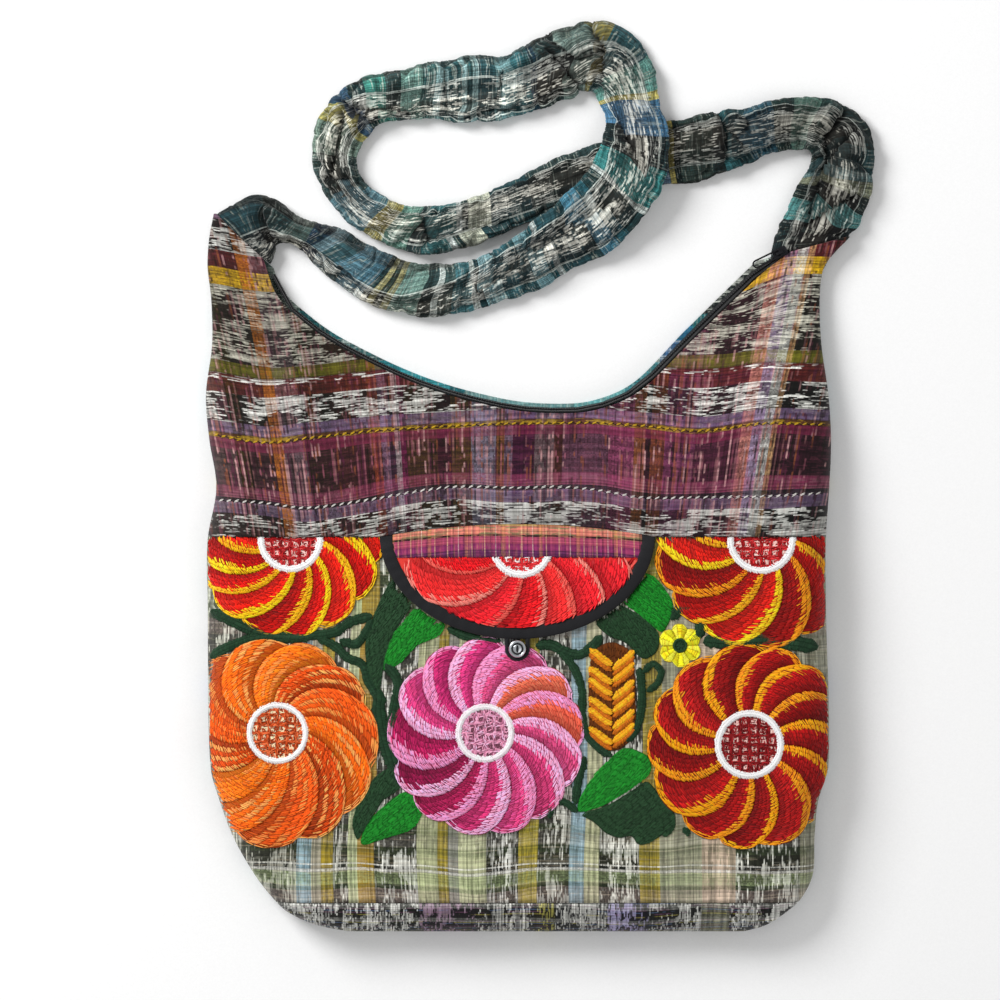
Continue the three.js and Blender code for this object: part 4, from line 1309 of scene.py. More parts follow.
@dataclass(frozen=True)
class Flower:
    """A pinwheel flower: a corded ring round a latticed middle, and swirling petals with bright edges.

    The ring and the rim, each a middle and a radius, are charted on the picture frame.
    """

    name: str
    ring: tuple[float, float, float]
    rim: tuple[float, float, float]
    petals: int
    bodies: tuple[str, ...]
    edges: tuple[str, ...]
    middle: tuple[str, ...]
    edge: float = 0.34
    lines: int = 1
    wrap: float = 0.05
    cord: str = "#f4f0ea"
    cord_wide: float = 4.2
    twist: float = 32.0
    bend: float = 1.5
    scallop: float = 0.09
    pitch: float = 0.6
    relief: float = 1.3
    cuts: int = 7
    lattice: float = 5.2
    body_spread: float = 0.24
    edge_spread: float = 0.2
    lightest: float = 1.2
    shadow: float = 0.7
    disc: tuple[float, ...] = (0.02, 0.5, 0.8)
    pad_rows: int = 24
    pad_columns: int = 9

    def circle(self, share: Grid) -> tuple[Grid, Grid, Grid]:
        """Middle and radius of the circle at a share of the way from ring to rim, in mm."""
        ends = [(*photo(px, py), radius * PIXEL) for px, py, radius in (self.ring, self.rim)]
        return tuple(a + (b - a) * share for a, b in zip(*ends))

    def at(self, turn: Grid, part: Grid, share: Grid) -> Grid:
        """Place on the flower.

        Args:
            turn: angle at the ring.
            part: share of the way across the petal.
            share: share of the way from ring to rim.

        Returns:
            x and y of each place.
        """
        out = np.clip(share, 0, 1.02)
        angle = turn - math.radians(self.twist) * out**self.bend
        x, y, radius = self.circle(share)
        round_end = 1 - np.sin(math.pi * np.clip(part, 0, 1) ** 0.85) ** 0.6
        radius = radius * (1 - self.scallop * out**3 * round_end)
        return polar(x, y, radius, angle)

    def high(self, part: Grid, share: Grid) -> Grid:
        """Height of a petal: full near its bright edge, falling away under the next one."""
        crown = np.sin(math.pi * np.clip(part, 0, 1) ** 0.75) ** 0.6
        ends = ease(share / 0.12) * (1 - 0.7 * np.clip(share, 0, 1) ** 8)
        return 0.35 + self.relief * crown * ends

    def sew(self, needle: Needle) -> None:
        """Sews the flower.

        Args:
            needle: the patch it goes on.
        """
        start = np.arange(self.petals + 1) + np.pad(needle.rng.uniform(-0.12, 0.12, self.petals - 1), 1)
        self._pad(needle, start)
        self._petals(needle, start)
        self._cord(needle)
        self._middle(needle)

    def _turn(self, start: Grid, petal: Grid, part: Grid) -> Grid:
        """Angle at the ring of a part of the way across a petal."""
        return 2 * math.pi * (start[petal + 1] + (start[petal] - start[petal + 1]) * part) / self.petals

    def _pad(self, needle: Needle, start: Grid) -> None:
        """Lays the padding: a disc under the middle and a cushion under each petal."""
        part = np.tile(np.linspace(0.999, 0.001, self.pad_columns), self.petals)
        petal = np.repeat(np.arange(self.petals), self.pad_columns)
        turn = self._turn(start, petal, part)
        share = np.linspace(0, 0.99, self.pad_rows)[:, None]
        x, y, radius = self.circle(0.0)
        inner = polar(x, y, radius * np.array(self.disc)[:, None], turn)
        bed = np.concatenate([inner, self.at(turn, part, share)])
        high = np.concatenate([np.full(inner.shape[:2], 0.3), self.high(part, share)])
        # Padding is darker than its thread: painted shade in the gaps between stitches.
        tint = np.array([linear(shade) for shade in self.bodies])[petal % len(self.bodies)] * 0.55
        colour = np.tile(tint, (len(bed), 1, 1))
        colour[: len(inner)] = linear(self.middle[0]) * 0.6
        faces = grid_faces(*bed.shape[:2], ring=True)
        faces.append(tuple(range(len(turn)))[::-1])
        needle.pad(bed[..., 0], bed[..., 1], high, faces, colour)

    def _petals(self, needle: Needle, start: Grid) -> None:
        """Sews short stitches across every petal, its two threads running into each other."""
        rng = needle.rng
        steps = int((self.circle(1.0)[2] - self.circle(0.0)[2]) * 1.15 / self.pitch)
        shape = (self.petals, steps, self.cuts)
        petal = np.arange(self.petals)[:, None, None]
        part = np.linspace(0.01, 0.99, self.cuts) + rng.normal(0, 0.022, shape)
        share = np.linspace(0.02, 0.985, steps)[:, None] + rng.normal(0, 0.007, shape) + 0.06 * (part - 0.5)
        place = self.at(self._turn(start, petal, part), part, share)
        high = self.high(part, share) + 0.14 + rng.normal(0, 0.05, shape)
        middle, out = (part[..., 1:] + part[..., :-1]) / 2, (share[..., 1:] + share[..., :-1]) / 2
        feather = rng.normal(0, 0.05, middle.shape) + 0.05 * np.sin(8 * out + 2.4 * petal)
        bright = (middle * self.lines) % 1.0 + feather * self.lines < self.edge
        bright |= out + feather * 0.3 > 1.0 - self.wrap * (1.5 - middle)
        which = np.broadcast_to(petal, middle.shape)
        body = needle.colours(self.bodies, which % len(self.bodies), self.body_spread)
        edge = needle.colours(self.edges, which % len(self.edges), self.edge_spread)
        # Painted light and shade: the body thread is lightest on the petal's crown, darker where it runs
        # under the next petal and near the ring.
        shade = self.lightest - self.shadow * np.clip((middle - 0.4) / 0.6, 0, 1) ** 1.4
        shade = shade * (0.75 + 0.25 * ease(out / 0.12))
        colour = np.where(bright[..., None], edge, body * shade[..., None])
        needle.stitch(place[:, :, :-1], place[:, :, 1:], high[:, :, :-1], high[:, :, 1:], colour)

    def _cord(self, needle: Needle) -> None:
        """Sews the ring: stitches across a raised cord."""
        x, y, ring = self.circle(0.0)
        count = int(2 * math.pi * ring / 0.5)
        turn = around(count)[:, None]
        reach = self.cord_wide / 2 * (1 + 0.12 * needle.rng.normal(size=(count, 1)))
        radius = ring - 0.3 + reach * np.array([-1, -0.4, 0.4, 1])
        turn = turn + 0.05 * np.array([-1, -0.4, 0.4, 1])
        place = polar(x, y, radius, turn)
        high = np.array([0.5, 1.5, 1.5, 0.6]) + np.zeros(radius.shape)
        colour = needle.colours([self.cord], np.zeros((count, 3), int), 0.06)
        needle.stitch(place[:, :-1], place[:, 1:], high[:, :-1], high[:, 1:], colour)

    def _middle(self, needle: Needle) -> None:
        """Sews the middle: crossed threads with pale openings, the last shade, between them."""
        rng = needle.rng
        x, y, ring = self.circle(0.0)
        count = int(math.pi * ring**2 * 1.3)
        radius = (ring - 0.4 * self.cord_wide) * np.sqrt(rng.uniform(0, 1, count))
        spin = rng.uniform(0, 2 * math.pi, count)
        flat = polar(0.0, 0.0, radius, spin)
        cell = np.abs((flat / self.lattice + rng.normal(0, 0.06, flat.shape)) % 1.0 - 0.5)
        open_cell = (cell < 0.33).all(axis=1) & (rng.uniform(size=count) < 0.8)
        lie = np.radians(np.where(cell[:, 0] < cell[:, 1], 6, 96) + rng.normal(0, 14, count))
        half = rng.uniform(0.7, 1.8, count)[:, None] * np.stack([np.cos(lie), np.sin(lie)], axis=-1)
        pick = np.where(open_cell, len(self.middle) - 1, rng.integers(0, len(self.middle) - 1, count))
        high = np.where(open_cell, 0.4, rng.uniform(0.5, 0.9, count))
        place = flat + np.array([x, y])
        needle.stitch(place - half, place + half, high, high, needle.colours(self.middle, pick, 0.16))


@dataclass(frozen=True)
class Leaf:
    """A patch filled with stitches that all lie one way."""

    corners: Pairs
    shade: str
    lie: float
    crown: float = 0.75
    pitch: float = 0.55
    longest: float = 4.2

    def sew(self, needle: Needle) -> None:
        """Sews the leaf over its padding.

        Args:
            needle: the patch it goes on.
        """
        ring = np.array([photo(*corner) for corner in self.corners])
        for _ in range(2):
            after = np.roll(ring, -1, axis=0)
            ring = np.stack([0.8 * ring + 0.2 * after, 0.2 * ring + 0.8 * after], axis=1).reshape(-1, 2)
        laid = np.stack(turned(*ring.T, -self.lie), axis=-1)
        low, high = laid[:, 1].min(), laid[:, 1].max()
        rows = np.arange(low + 0.3, high - 0.2, self.pitch)
        ends = np.array([self._span(laid, row) for row in rows])
        across = np.linspace(0, 1, 9)
        u = ends[:, :1] + (ends[:, 1:] - ends[:, :1]) * across
        v = np.broadcast_to(rows[:, None], u.shape)
        rise = np.sin(math.pi * (rows - low) / (high - low))[:, None]
        pad = 0.25 + self.crown * rise**0.5 * (1 - np.abs(2 * across - 1) ** 2.5)
        # Padding is darker than its thread: painted shade in the gaps between stitches.
        tint = linear(self.shade) * 0.7
        skip = slice(None, None, 2)
        bed = turned(u[skip], v[skip], self.lie)
        needle.pad(*bed, pad[skip], grid_faces(*bed[0].shape), tint)
        for row, (start, end) in zip(rows, ends):
            count = max(2, int((end - start) / self.longest) + 1)
            cut = np.linspace(start, end, count + 1)
            cut[1:-1] += needle.rng.uniform(-1.4, 1.4, count - 1)
            cut = np.sort(cut)
            share = np.clip((cut - start) / max(end - start, 0.1), 0, 1)
            lift = math.sin(math.pi * min(max((row - low) / (high - low), 0), 1)) ** 0.5
            top = 0.4 + self.crown * lift * (1 - np.abs(2 * share - 1) ** 2.5)
            line = row + needle.rng.normal(0, 0.12, count + 1)
            place = np.stack(turned(cut, line, self.lie), axis=-1)
            colour = needle.colours([self.shade], np.zeros(count, int), 0.2)
            needle.stitch(place[:-1], place[1:], top[:-1], top[1:], colour)

    @staticmethod
    def _span(ring: Points, row: float) -> tuple[float, float]:
        """First and last crossing of a line with the outline."""
        hits = []
        for (u0, v0), (u1, v1) in zip(ring, np.roll(ring, -1, axis=0)):
            if (v0 - row) * (v1 - row) <= 0 and v0 != v1:
                hits.append(u0 + (u1 - u0) * (row - v0) / (v1 - v0))
        return min(hits), max(hits)


@dataclass(frozen=True)
class Vine:
    """A satin line along a path, with stitches across it."""

    path: Pairs
    shade: str
    wide: float
    crown: float = 0.7
    slant: float = 0.25

    def sew(self, needle: Needle) -> None:
        """Sews the line over its padding.

        Args:
            needle: the patch it goes on.
        """
        knots = np.array([photo(*p) for p in self.path])
        run = lengths(knots)
        at = np.linspace(0, run[-1], max(7, int(run[-1] / 0.56)))
        line = np.stack([through(run, knots[:, k], at) for k in range(2)], axis=-1)
        way = unit(np.gradient(line, axis=0))
        side = np.stack([-way[:, 1], way[:, 0]], axis=-1)
        taper = np.sqrt(np.clip(np.minimum(at, run[-1] - at) / (self.wide * 0.5), 0.12, 1))
        reach = self.wide / 2 * taper * (1 + 0.1 * needle.rng.normal(size=len(at)))
        part = np.array([-1, -0.36, 0.36, 1])
        lean = self.slant * reach[:, None, None] * part[:, None] * way[:, None]
        place = line[:, None] + side[:, None] * (reach[:, None] * part)[..., None] + lean
        high = np.array([0.3, 0.4 + self.crown, 0.4 + self.crown, 0.3]) + np.zeros(place.shape[:2])
        # Padding is darker than its thread: painted shade in the gaps between stitches.
        tint = linear(self.shade) * 0.7
        skip = slice(None, None, 3)
        pad = place[skip]
        needle.pad(pad[..., 0], pad[..., 1], high[skip] - 0.15, grid_faces(*pad.shape[:2]), tint)
        colour = needle.colours([self.shade], np.zeros((len(at), 3), int), 0.18)
        needle.stitch(place[:, :-1], place[:, 1:], high[:, :-1], high[:, 1:], colour)


PIXEL = 0.5684
MIDDLE = (-10.35, 97.75)


def photo(px: float, py: float) -> tuple[float, float]:
    """Place in mm of a point charted on the thousand-square picture frame, at the height of the front."""
    return (px - 500) * PIXEL + MIDDLE[0], (500 - py) * PIXEL + MIDDLE[1]


@dataclass
class Embroidery:
    """The six flowers, with their leaves and vines, on the pocket panel and the flap."""

    pouch: Pouch
    flap: Flap
    flowers: tuple[Flower, ...] = (
        Flower(
            "rose_upper_left", (290.5, 539.5, 30), (288, 541, 97), 14,
            ("#c41008", "#d81c0c", "#a80c06"), ("#fabc10", "#f4a812"),
            ("#a01418", "#c03a3c", "#8a1216", "#e8b4ac"), edge=0.38, twist=42, bend=1.1,
        ),
        Flower(
            "rose_upper_right", (761.5, 539.5, 31.5), (760, 542, 108), 13,
            ("#a8100a", "#c41c10", "#8c0c08"), ("#f4a018", "#fabe18", "#f08c14"),
            ("#a81418", "#c83438", "#8e1216", "#ecb8b0"), twist=40, bend=1.2,
        ),
        Flower(
            "dahlia_orange", (277.5, 733, 28.5), (274, 743, 106), 11,
            ("#f0640c", "#dc5410", "#c04408", "#f87010"), ("#fa9850", "#f08840"),
            ("#b84414", "#d8683a", "#8e3008", "#f4c8a4"), edge=0.26, lines=3, twist=46, bend=1.2,
            cord_wide=3.4,
        ),
        Flower(
            "dahlia_pink", (485, 733, 27), (486, 737, 100), 13,
            (
                "#d84c80", "#f06048", "#f46c50", "#dc5084", "#d23a7c", "#c42c70", "#d84080",
                "#b01c58", "#8c1444", "#a41c50", "#c83470", "#d84480", "#cc3c74",
            ),
            ("#f8a4c8", "#f48cb8"),
            ("#d890ac", "#a86480", "#e8a8c4", "#6a3c4c"), edge=0.46, cord="#e6dade", cord_wide=3.6,
        ),
        Flower(
            "dahlia_crimson", (749.3, 744.5, 31.8), (750, 746.5, 104), 13,
            ("#9c1010", "#8a0c0c", "#a81414"), ("#f8980c", "#f49014"),
            ("#7c1014", "#981c20", "#6a0c10", "#dcb0a8"), twist=27, bend=2.0, wrap=0.06,
        ),
    )
    flap_flower: Flower = Flower(
        "rose_flap", (521.5, 546, 29), (521.5, 548, 120), 13,
        ("#e4202a", "#d0141c", "#ee2c2c"), ("#fa7c70", "#f05a50"),
        ("#b81c22", "#d8343a", "#f0dcd8"), edge=0.24, twist=40, bend=1.2,
    )
    bright: str = "#177c22"
    dark: str = "#213e25"
    stem: str = "#1e3a25"
    gold: str = "#f2a41c"
    amber: str = "#b86412"
    husk: str = "#5c2e0a"

    def build(self) -> None:
        """Sews every motif, the low ones first."""
        patches = [
            ("leaves", [*self._vines(), *self._leaves()], SEED),
            ("wheat", self._barbs(), SEED + 1),
            ("bud", [self._bud()], SEED + 2),
        ]
        patches += [(flower.name, [flower], SEED + 10 + k) for k, flower in enumerate(self.flowers)]
        for name, motifs, seed in patches:
            self._sew(Needle(name, self.pouch.top_z, self._on_panel, seed), motifs)
        needle = Needle(self.flap_flower.name, self.flap.top, self._on_flap, SEED + 30)
        needle.slot = "coral_cloth"
        self._sew(needle, [self.flap_flower])

    @staticmethod
    def _sew(needle: Needle, motifs: Sequence[Flower | Leaf | Vine]) -> None:
        """Sews the motifs of one patch."""
        for motif in motifs:
            motif.sew(needle)
        needle.finish()

    def _on_panel(self, x: Grid, y: Grid) -> Grid:
        """Whether places are on the panel, clear of its edges and of the flap."""
        sides = (x > self.pouch.left(y) + 0.8) & (x < self.pouch.right(y) - 0.8)
        ends = (y < self.pouch.yoke_seam(x) - 0.3) & (y > self.pouch.base_front_y + 2)
        return sides & ends & ~self.flap.inside(x, y, 0.5)

    def _on_flap(self, x: Grid, y: Grid) -> Grid:
        """Whether places are on the flap, inside its binding and below its strip."""
        below = y < self.pouch.yoke_y - self.flap.strip_deep + 0.5
        return self.flap.inside(x, y, self.flap.binding - 1.5) & below

    def _leaves(self) -> list[Leaf]:
        """Leaves, charted on the picture frame."""
        chart = (
            (self.dark, 50, (
                (404, 570), (424, 584), (412, 606), (394, 631), (384, 662), (380, 694), (368, 680),
                (364, 640), (377, 607), (390, 580),
            )),
            (self.bright, 50, (
                (421, 599), (448, 618), (441, 636), (414, 646), (404, 661), (383, 674), (383, 655),
                (394, 631),
            )),
            (self.dark, -55, (
                (616, 602), (647, 619), (661, 636), (657, 653), (643, 661), (626, 642), (609, 637),
                (595, 624), (599, 611),
            )),
            (self.bright, -40, (
                (642, 571), (657, 578), (674, 602), (671, 619), (662, 635), (647, 619), (618, 600),
            )),
            (self.dark, 60, (
                (394, 765), (405, 786), (374, 806), (358, 845), (351, 824), (359, 799), (376, 775),
            )),
            (self.bright, 40, (
                (407, 788), (425, 809), (414, 830), (387, 838), (359, 848), (364, 826), (380, 809),
            )),
            (self.bright, 48, (
                (626, 746), (650, 756), (652, 773), (630, 790), (602, 807), (577, 814), (578, 800),
                (595, 773), (612, 756),
            )),
            (self.dark, 40, (
                (578, 814), (606, 807), (633, 790), (647, 779), (661, 797), (675, 812), (676, 828),
                (666, 839), (659, 832), (652, 843), (638, 846), (632, 835), (620, 839), (606, 834),
                (594, 822),
            )),
        )
        return [Leaf(corners, shade, lie) for shade, lie, corners in chart]

    def _vines(self) -> list[Vine]:
        """Stems and curls, charted on the picture frame."""
        chart = (
            (6.5, ((210, 611), (232, 621), (258, 632), (285, 637), (312, 637))),
            (5.6, ((209, 657), (228, 647), (255, 638), (300, 636), (335, 632), (350, 622), (372, 616))),
            (5.0, ((318, 638), (335, 646), (348, 658), (362, 664), (368, 680), (377, 697))),
            (7.5, ((380, 690), (379, 715), (386, 745), (393, 770))),
            (6.0, ((386, 664), (398, 682), (394, 712), (390, 742), (396, 764))),
            (5.0, ((340, 640), (356, 644), (366, 632), (372, 620))),
            (5.0, ((448, 628), (470, 637), (500, 641))),
            (5.6, ((536, 645), (552, 645), (561, 650), (578, 655), (592, 647), (602, 636))),
            (4.6, ((561, 652), (574, 668), (582, 691), (582, 715), (587, 734), (599, 748), (611, 756))),
            (4.6, ((640, 668), (642, 698), (638, 725), (627, 741))),
            (4.0, ((643, 672), (653, 664), (661, 671), (657, 684), (647, 691))),
            (6.0, ((671, 619), (683, 608), (697, 615), (700, 630), (690, 640))),
            (8.5, ((704, 640), (729, 641), (763, 640), (794, 643), (818, 648))),
            (4.6, ((585, 757), (579, 778), (575, 804))),
            (4.0, ((549, 818), (553, 802), (566, 803), (577, 812))),
            (4.6, ((684, 828), (687, 832), (688, 836))),
        )
        return [Vine(path, self.stem, wide) for wide, path in chart]

    def _barbs(self) -> list[Vine | Leaf]:
        """Wheat spike: pairs of barbs up a stalk, on a dark ground."""
        ground = ((589, 652), (611, 640), (635, 652), (636, 738), (612, 754), (588, 738))
        barbs: list[Vine | Leaf] = [Leaf(ground, self.husk, 90, 0.1)]
        for row in range(6):
            for side in (-1, 1):
                y = 658 + row * 15 + 2 * math.sin(3 * row + side)
                for shade, drop, wide in ((self.amber, 5.5, 3.2), (self.gold, 0, 4.8)):
                    foot, tip = (612 + side, y + 9 + drop), (612 + 22 * side, y - 8 + drop)
                    barbs.append(Vine((foot, (612 + 12 * side, y + 1 + drop), tip), shade, wide, 0.9, 0.6))
        return barbs

    def _bud(self) -> Flower:
        """Small yellow flower with a green middle."""
        return Flower(
            "bud", (680, 645.5, 6.5), (680, 645.5, 22), 6, ("#ffe020", "#fad41c"), ("#ffe640",),
            (self.dark, self.stem, self.dark), cord=self.dark, cord_wide=1.4, twist=0, scallop=0.22,
            relief=0.7, cuts=4,
        )


# Zip


@dataclass
class Zip:
    """Zip along the mouth: its tapes, coil, slider and wire pull from the frame, with teeth over the coil."""

    pouch: Pouch
    pitch: float = 1.5
    gap: float = 0.3
    share: float = 0.53
    coil: float = 1.8
    inset: float = 5.0
    tooth: float = 0.16

    def build(self) -> None:
        """Dresses the zip's nodes and lays its teeth."""
        nylon, steel = ZIP_TAPE.build(), BLACK_STEEL.build()
        for node in ("zip_tape_front", "zip_coil", "zip_tape_back"):
            coat(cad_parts[node].data, nylon)
        for node in ("zip_slider", "zip_pull"):
            coat(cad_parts[node].data, steel)
        self._teeth()

    def _teeth(self) -> None:
        """Lays a tooth across the coil at every pitch."""
        p = self.pouch
        x = np.linspace(p.mouth[0].x + self.inset, p.mouth[-1].x - self.inset, 600)
        line = np.stack([x, p.mouth_y(x)], axis=-1)
        run = lengths(line)
        at = np.arange(0, run[-1], self.pitch)
        px = np.interp(at, run, x)
        py = p.mouth_y(px)
        slope = p.mouth_slope(px)
        out = np.stack([-slope, np.ones(len(px))], axis=-1) / np.hypot(slope, 1)[:, None]
        low, high = p.wall + 2 * self.gap, p.top_z(px, py) - 2 * self.gap
        reach = p.zip_width(px) - 2 * self.gap
        ends = []
        for share in (self.share - self.tooth, self.share + self.tooth):
            away = 2 * self.gap + reach * share + self.coil * 0.5
            plan = np.stack([px, py], axis=-1) + out * away[:, None]
            ends.append(np.column_stack([plan, high + (low - high) * share + 0.5]))
        colour = np.tile(linear("#1a1a1c"), (len(px), 1))
        sew("zip_teeth", ends[0], ends[1], colour, FLOSS.build(), 0.9, 0.9)


# Strap


class Lay(NamedTuple):
    """One place on the strap: middle, heading, width, height of its left and right edge, and thickness."""

    x: float
    y: float
    heading: float
    wide: float
    left: float
    right: float
    thick: float


class Crease(NamedTuple):
    """A fold of the strap along a line, on part of its run counted in places.

    The cover rolls over on the right of the line and slides under it on the left.
    """

    x0: float
    y0: float
    x1: float
    y1: float
    first: float
    last: float
    deep: float
    wide: float


class Gather(NamedTuple):
    """A layer of gathers in the strap: stretch along and round it, hump size in mm, seed and share."""

    along: float
    around: float
    size: float
    seed: float
    share: float


@dataclass
class Strap:
    """Padded cloth strap laid in a loop, with gathers and creases in its cover."""

    steps: int = 800
    sides: int = 60
    roll: float = 1.15
    notch: float = 2.2
    reach: float = 1.6
    press: float = 1.4
    press_wide: float = 1.5
    lip: float = 0.3
    lip_wide: float = 0.8
    puff: float = 0.25
    puff_at: float = 1.6
    # line_wide and full_line: width of the painted shadow line beside a fold, and the fold depth at which it
    # is fully dark
    line_wide: float = 1.3
    full_line: float = 4.0
    slip: float = 7.0
    slip_reach: float = 12.0
    # dark: how far the painted shadow line darkens the cover
    dark: float = 0.88
    deepest: float = 0.62
    crease: float = 1.0
    crease_wide: float = 0.3
    girth: float = 84.0
    gather: float = 1.1
    gathers: tuple[Gather, ...] = table(
        Gather,
        (1, 0.35, 8, 1.5, 0.9), (1, 0.5, 4.2, 6.5, 0.5), (0.16, 1, 6.5, 3.5, 0.9),
    )
    pinch: float = 3.0
    bunch: float = 3.6
    wander: float = 1.5
    sway: float = 0.8
    skew: float = 4.0
    skew_from: float = 32.0
    skew_reach: float = 20.0
    square: int = 3
    sewn: float = 1.2
    tight: float = 2.5
    draw: float = 1.1
    drift: Pairs = (
        (0, -10), (35, -17), (105, -14), (160, 0), (320, 0), (348, 8), (455, 8), (490, 0), (560, 0),
        (600, 6), (890, 0),
    )
    # Cloth tone along the run, darker on the right arm, with painted shade at the strap's left root
    tone_and_shade: Pairs = (
        (0, 0.4), (14, 0.45), (38, 0.95), (300, 1.0), (325, 0.85), (372, 0.85), (390, 1.3), (455, 1.25),
        (475, 0.9), (500, 1.05), (520, 0.85), (545, 1.05), (700, 0.82), (745, 0.57), (800, 0.52),
        (890, 0.54),
    )
    # shade, pale and murk: painted shade that darkens the cover as it is drawn in, between these limits
    shade: float = 0.085
    pale: float = 1.15
    murk: float = 0.5
    pinned: float = -0.35
    pinned_ends: float = 0.25
    crossing_slack: float = 0.3
    lumps: float = 0.09
    tuck: float = 1.2
    crossings: Pairs = ((8, 13.5), (27, 31.5))
    settle: Settle = Settle()
    lays: tuple[Lay, ...] = table(
        Lay,
        (-157, 248.1, 47.6, 42, 0, 0, 11.5), (-143, 257, 18, 33, 0, 0, 13),
        (-127.5, 252.6, -16, 18, 0, 0, 14), (-108, 242, -32, 27, 0, 0, 13),
        (-88, 229, -32, 32, 0, 0, 12.5), (-70, 221, -20, 32, 0, 0, 12.5), (-49, 219, -4, 31, 0, 0, 12.5),
        (-26, 221.5, 15, 29, 3, 0, 12), (-4, 229, 29, 33, 9.5, 0, 11), (20, 243.5, 36, 38, 12, 0.5, 10.5),
        (43, 259, 42, 44, 11, 5, 10.5), (60, 279, 58, 45, 10.6, 10.6, 10.5),
        (67.5, 303, 80, 42, 11, 12, 10.5), (64.5, 325, 100, 35, 1, 4, 11.5),
        (57, 343.5, 130, 40, 0, 0, 12), (42, 352, 172, 43, 0, 0, 12.5), (22, 346.5, 196, 41, 0, 0, 12.5),
        (-4, 336, 194, 38, 0, 0, 12), (-30, 334, 186, 40, 0, 0, 12.5), (-60, 331, 192, 32, 0, 0, 12.5),
        (-86, 325.5, 206, 29, 0, 0, 13), (-101, 310, 246, 31, 0, 0, 13), (-104.5, 292, 272, 27, 0, 0, 13),
        (-97.5, 274.5, 306, 24, 0, 0, 12.5), (-80, 260.5, 334, 26, 0, 0, 12),
        (-56, 253, 350, 28, 0, 0, 12), (-32, 256, 374, 28, 0, 0, 12), (-8, 264.5, 382, 28, 0, 0, 9.6),
        (20, 277.5, 383, 30, 0, 0, 8.8), (50, 288, 377, 33, 0, 0, 8.8), (80, 295, 374, 38, 0, 0, 9.6),
        (105, 300.5, 374, 39, 0, 0, 12), (130, 307, 376, 33, 0, 0, 12.5), (152, 312.5, 372, 32, 0, 0, 13),
        (172, 313, 340, 33, 0, 0, 13), (184.5, 302, 298, 40, 0, 0, 13), (183, 283, 270, 43, 0, 0, 13),
        (176, 265, 256, 45, 0, 0, 12.5), (167.2, 243.9, 284.4, 46, 0, 0, 10.5),
    )
    creases: tuple[Crease, ...] = table(
        Crease,
        (15.4, 354.5, 36.6, 326.4, 15, 17, 4.5, 3), (34.3, 351.6, 18.9, 364.8, 15, 16.8, 4, 2.6),
        (51, 359, 34.3, 351.6, 14, 16, 3.5, 2.4), (49.8, 331.5, 52.1, 354.5, 13, 16, 5, 3.2),
        (52.1, 354.5, 44.1, 371.6, 13, 16, 5, 3.2), (53.8, 316.6, 65.9, 292.6, 11.5, 13.2, 3, 2),
        (-86.6, 317.8, -102, 331.5, 19.6, 21.4, 4.5, 2.6),
        (-59.1, 320.1, -92.9, 324.7, 18.8, 20.6, 2.5, 1.8),
        (-100.9, 323.5, -103.7, 304, 20.6, 22, 3.4, 1.8),
        (-103.7, 304, -109.5, 283.4, 20.8, 22.8, 3.4, 1.8),
        (-96.3, 284.5, -109.5, 282.8, 21.6, 23, 4.5, 2.2),
        (-109.5, 283.4, -95.7, 270.2, 22.2, 23.4, 2.2, 1.6),
        (-57.9, 262.8, -53.3, 246.2, 24.4, 25.6, 4.2, 2.4), (-10.9, 256.5, -55, 247.3, 25, 27, 1.8, 1.4),
        (111.7, 321.8, 115.1, 310.9, 30.8, 32.2, 5, 3), (115.1, 310.9, 116.9, 291.4, 30.6, 32.2, 5, 3),
        (118, 310.9, 128.3, 300, 31, 32.6, 2.4, 2.2), (129.5, 317.8, 127.7, 309.8, 31.4, 32.6, 3, 2.5),
        (185.6, 324.1, 173, 307.5, 33, 35.4, 5, 3.2), (173, 307.5, 171.9, 285.7, 33.4, 36.2, 5, 3.2),
        (173.6, 285.7, 193.6, 307.5, 34.4, 36.2, 3.2, 2.4),
        (171.9, 282.3, 165, 260.5, 35.6, 37.6, 3, 2.2), (191.3, 273.7, 157, 251.9, 36, 38, 3.4, 2.6),
        (-136.4, 246.7, -145, 265.1, 0.5, 2.2, 5, 3.4), (-154.7, 247.9, -138.7, 241, 0, 1.7, 5, 5),
        (-21.8, 215.8, 28, 249.6, 7, 10, 2.6, 1.8), (28, 249.6, 53.8, 267.9, 9, 11, 2.6, 1.8),
        (1.1, 238.1, 38.4, 261.1, 8, 10.4, 1.8, 1.6), (-36.1, 234.1, -10.3, 241, 6, 7.8, 1.8, 1.8),
        (-124.9, 243.3, -95.2, 226.1, 2.4, 4, 1.8, 1.8), (-44.7, 347.6, -41.3, 320.1, 17.6, 19, 2, 2.2),
        (-10.3, 346.4, -14.9, 322.4, 16.8, 17.8, 1.8, 2.2),
        (69.9, 266.8, 78.5, 298.3, 10.8, 12.4, 2, 1.8),
    )

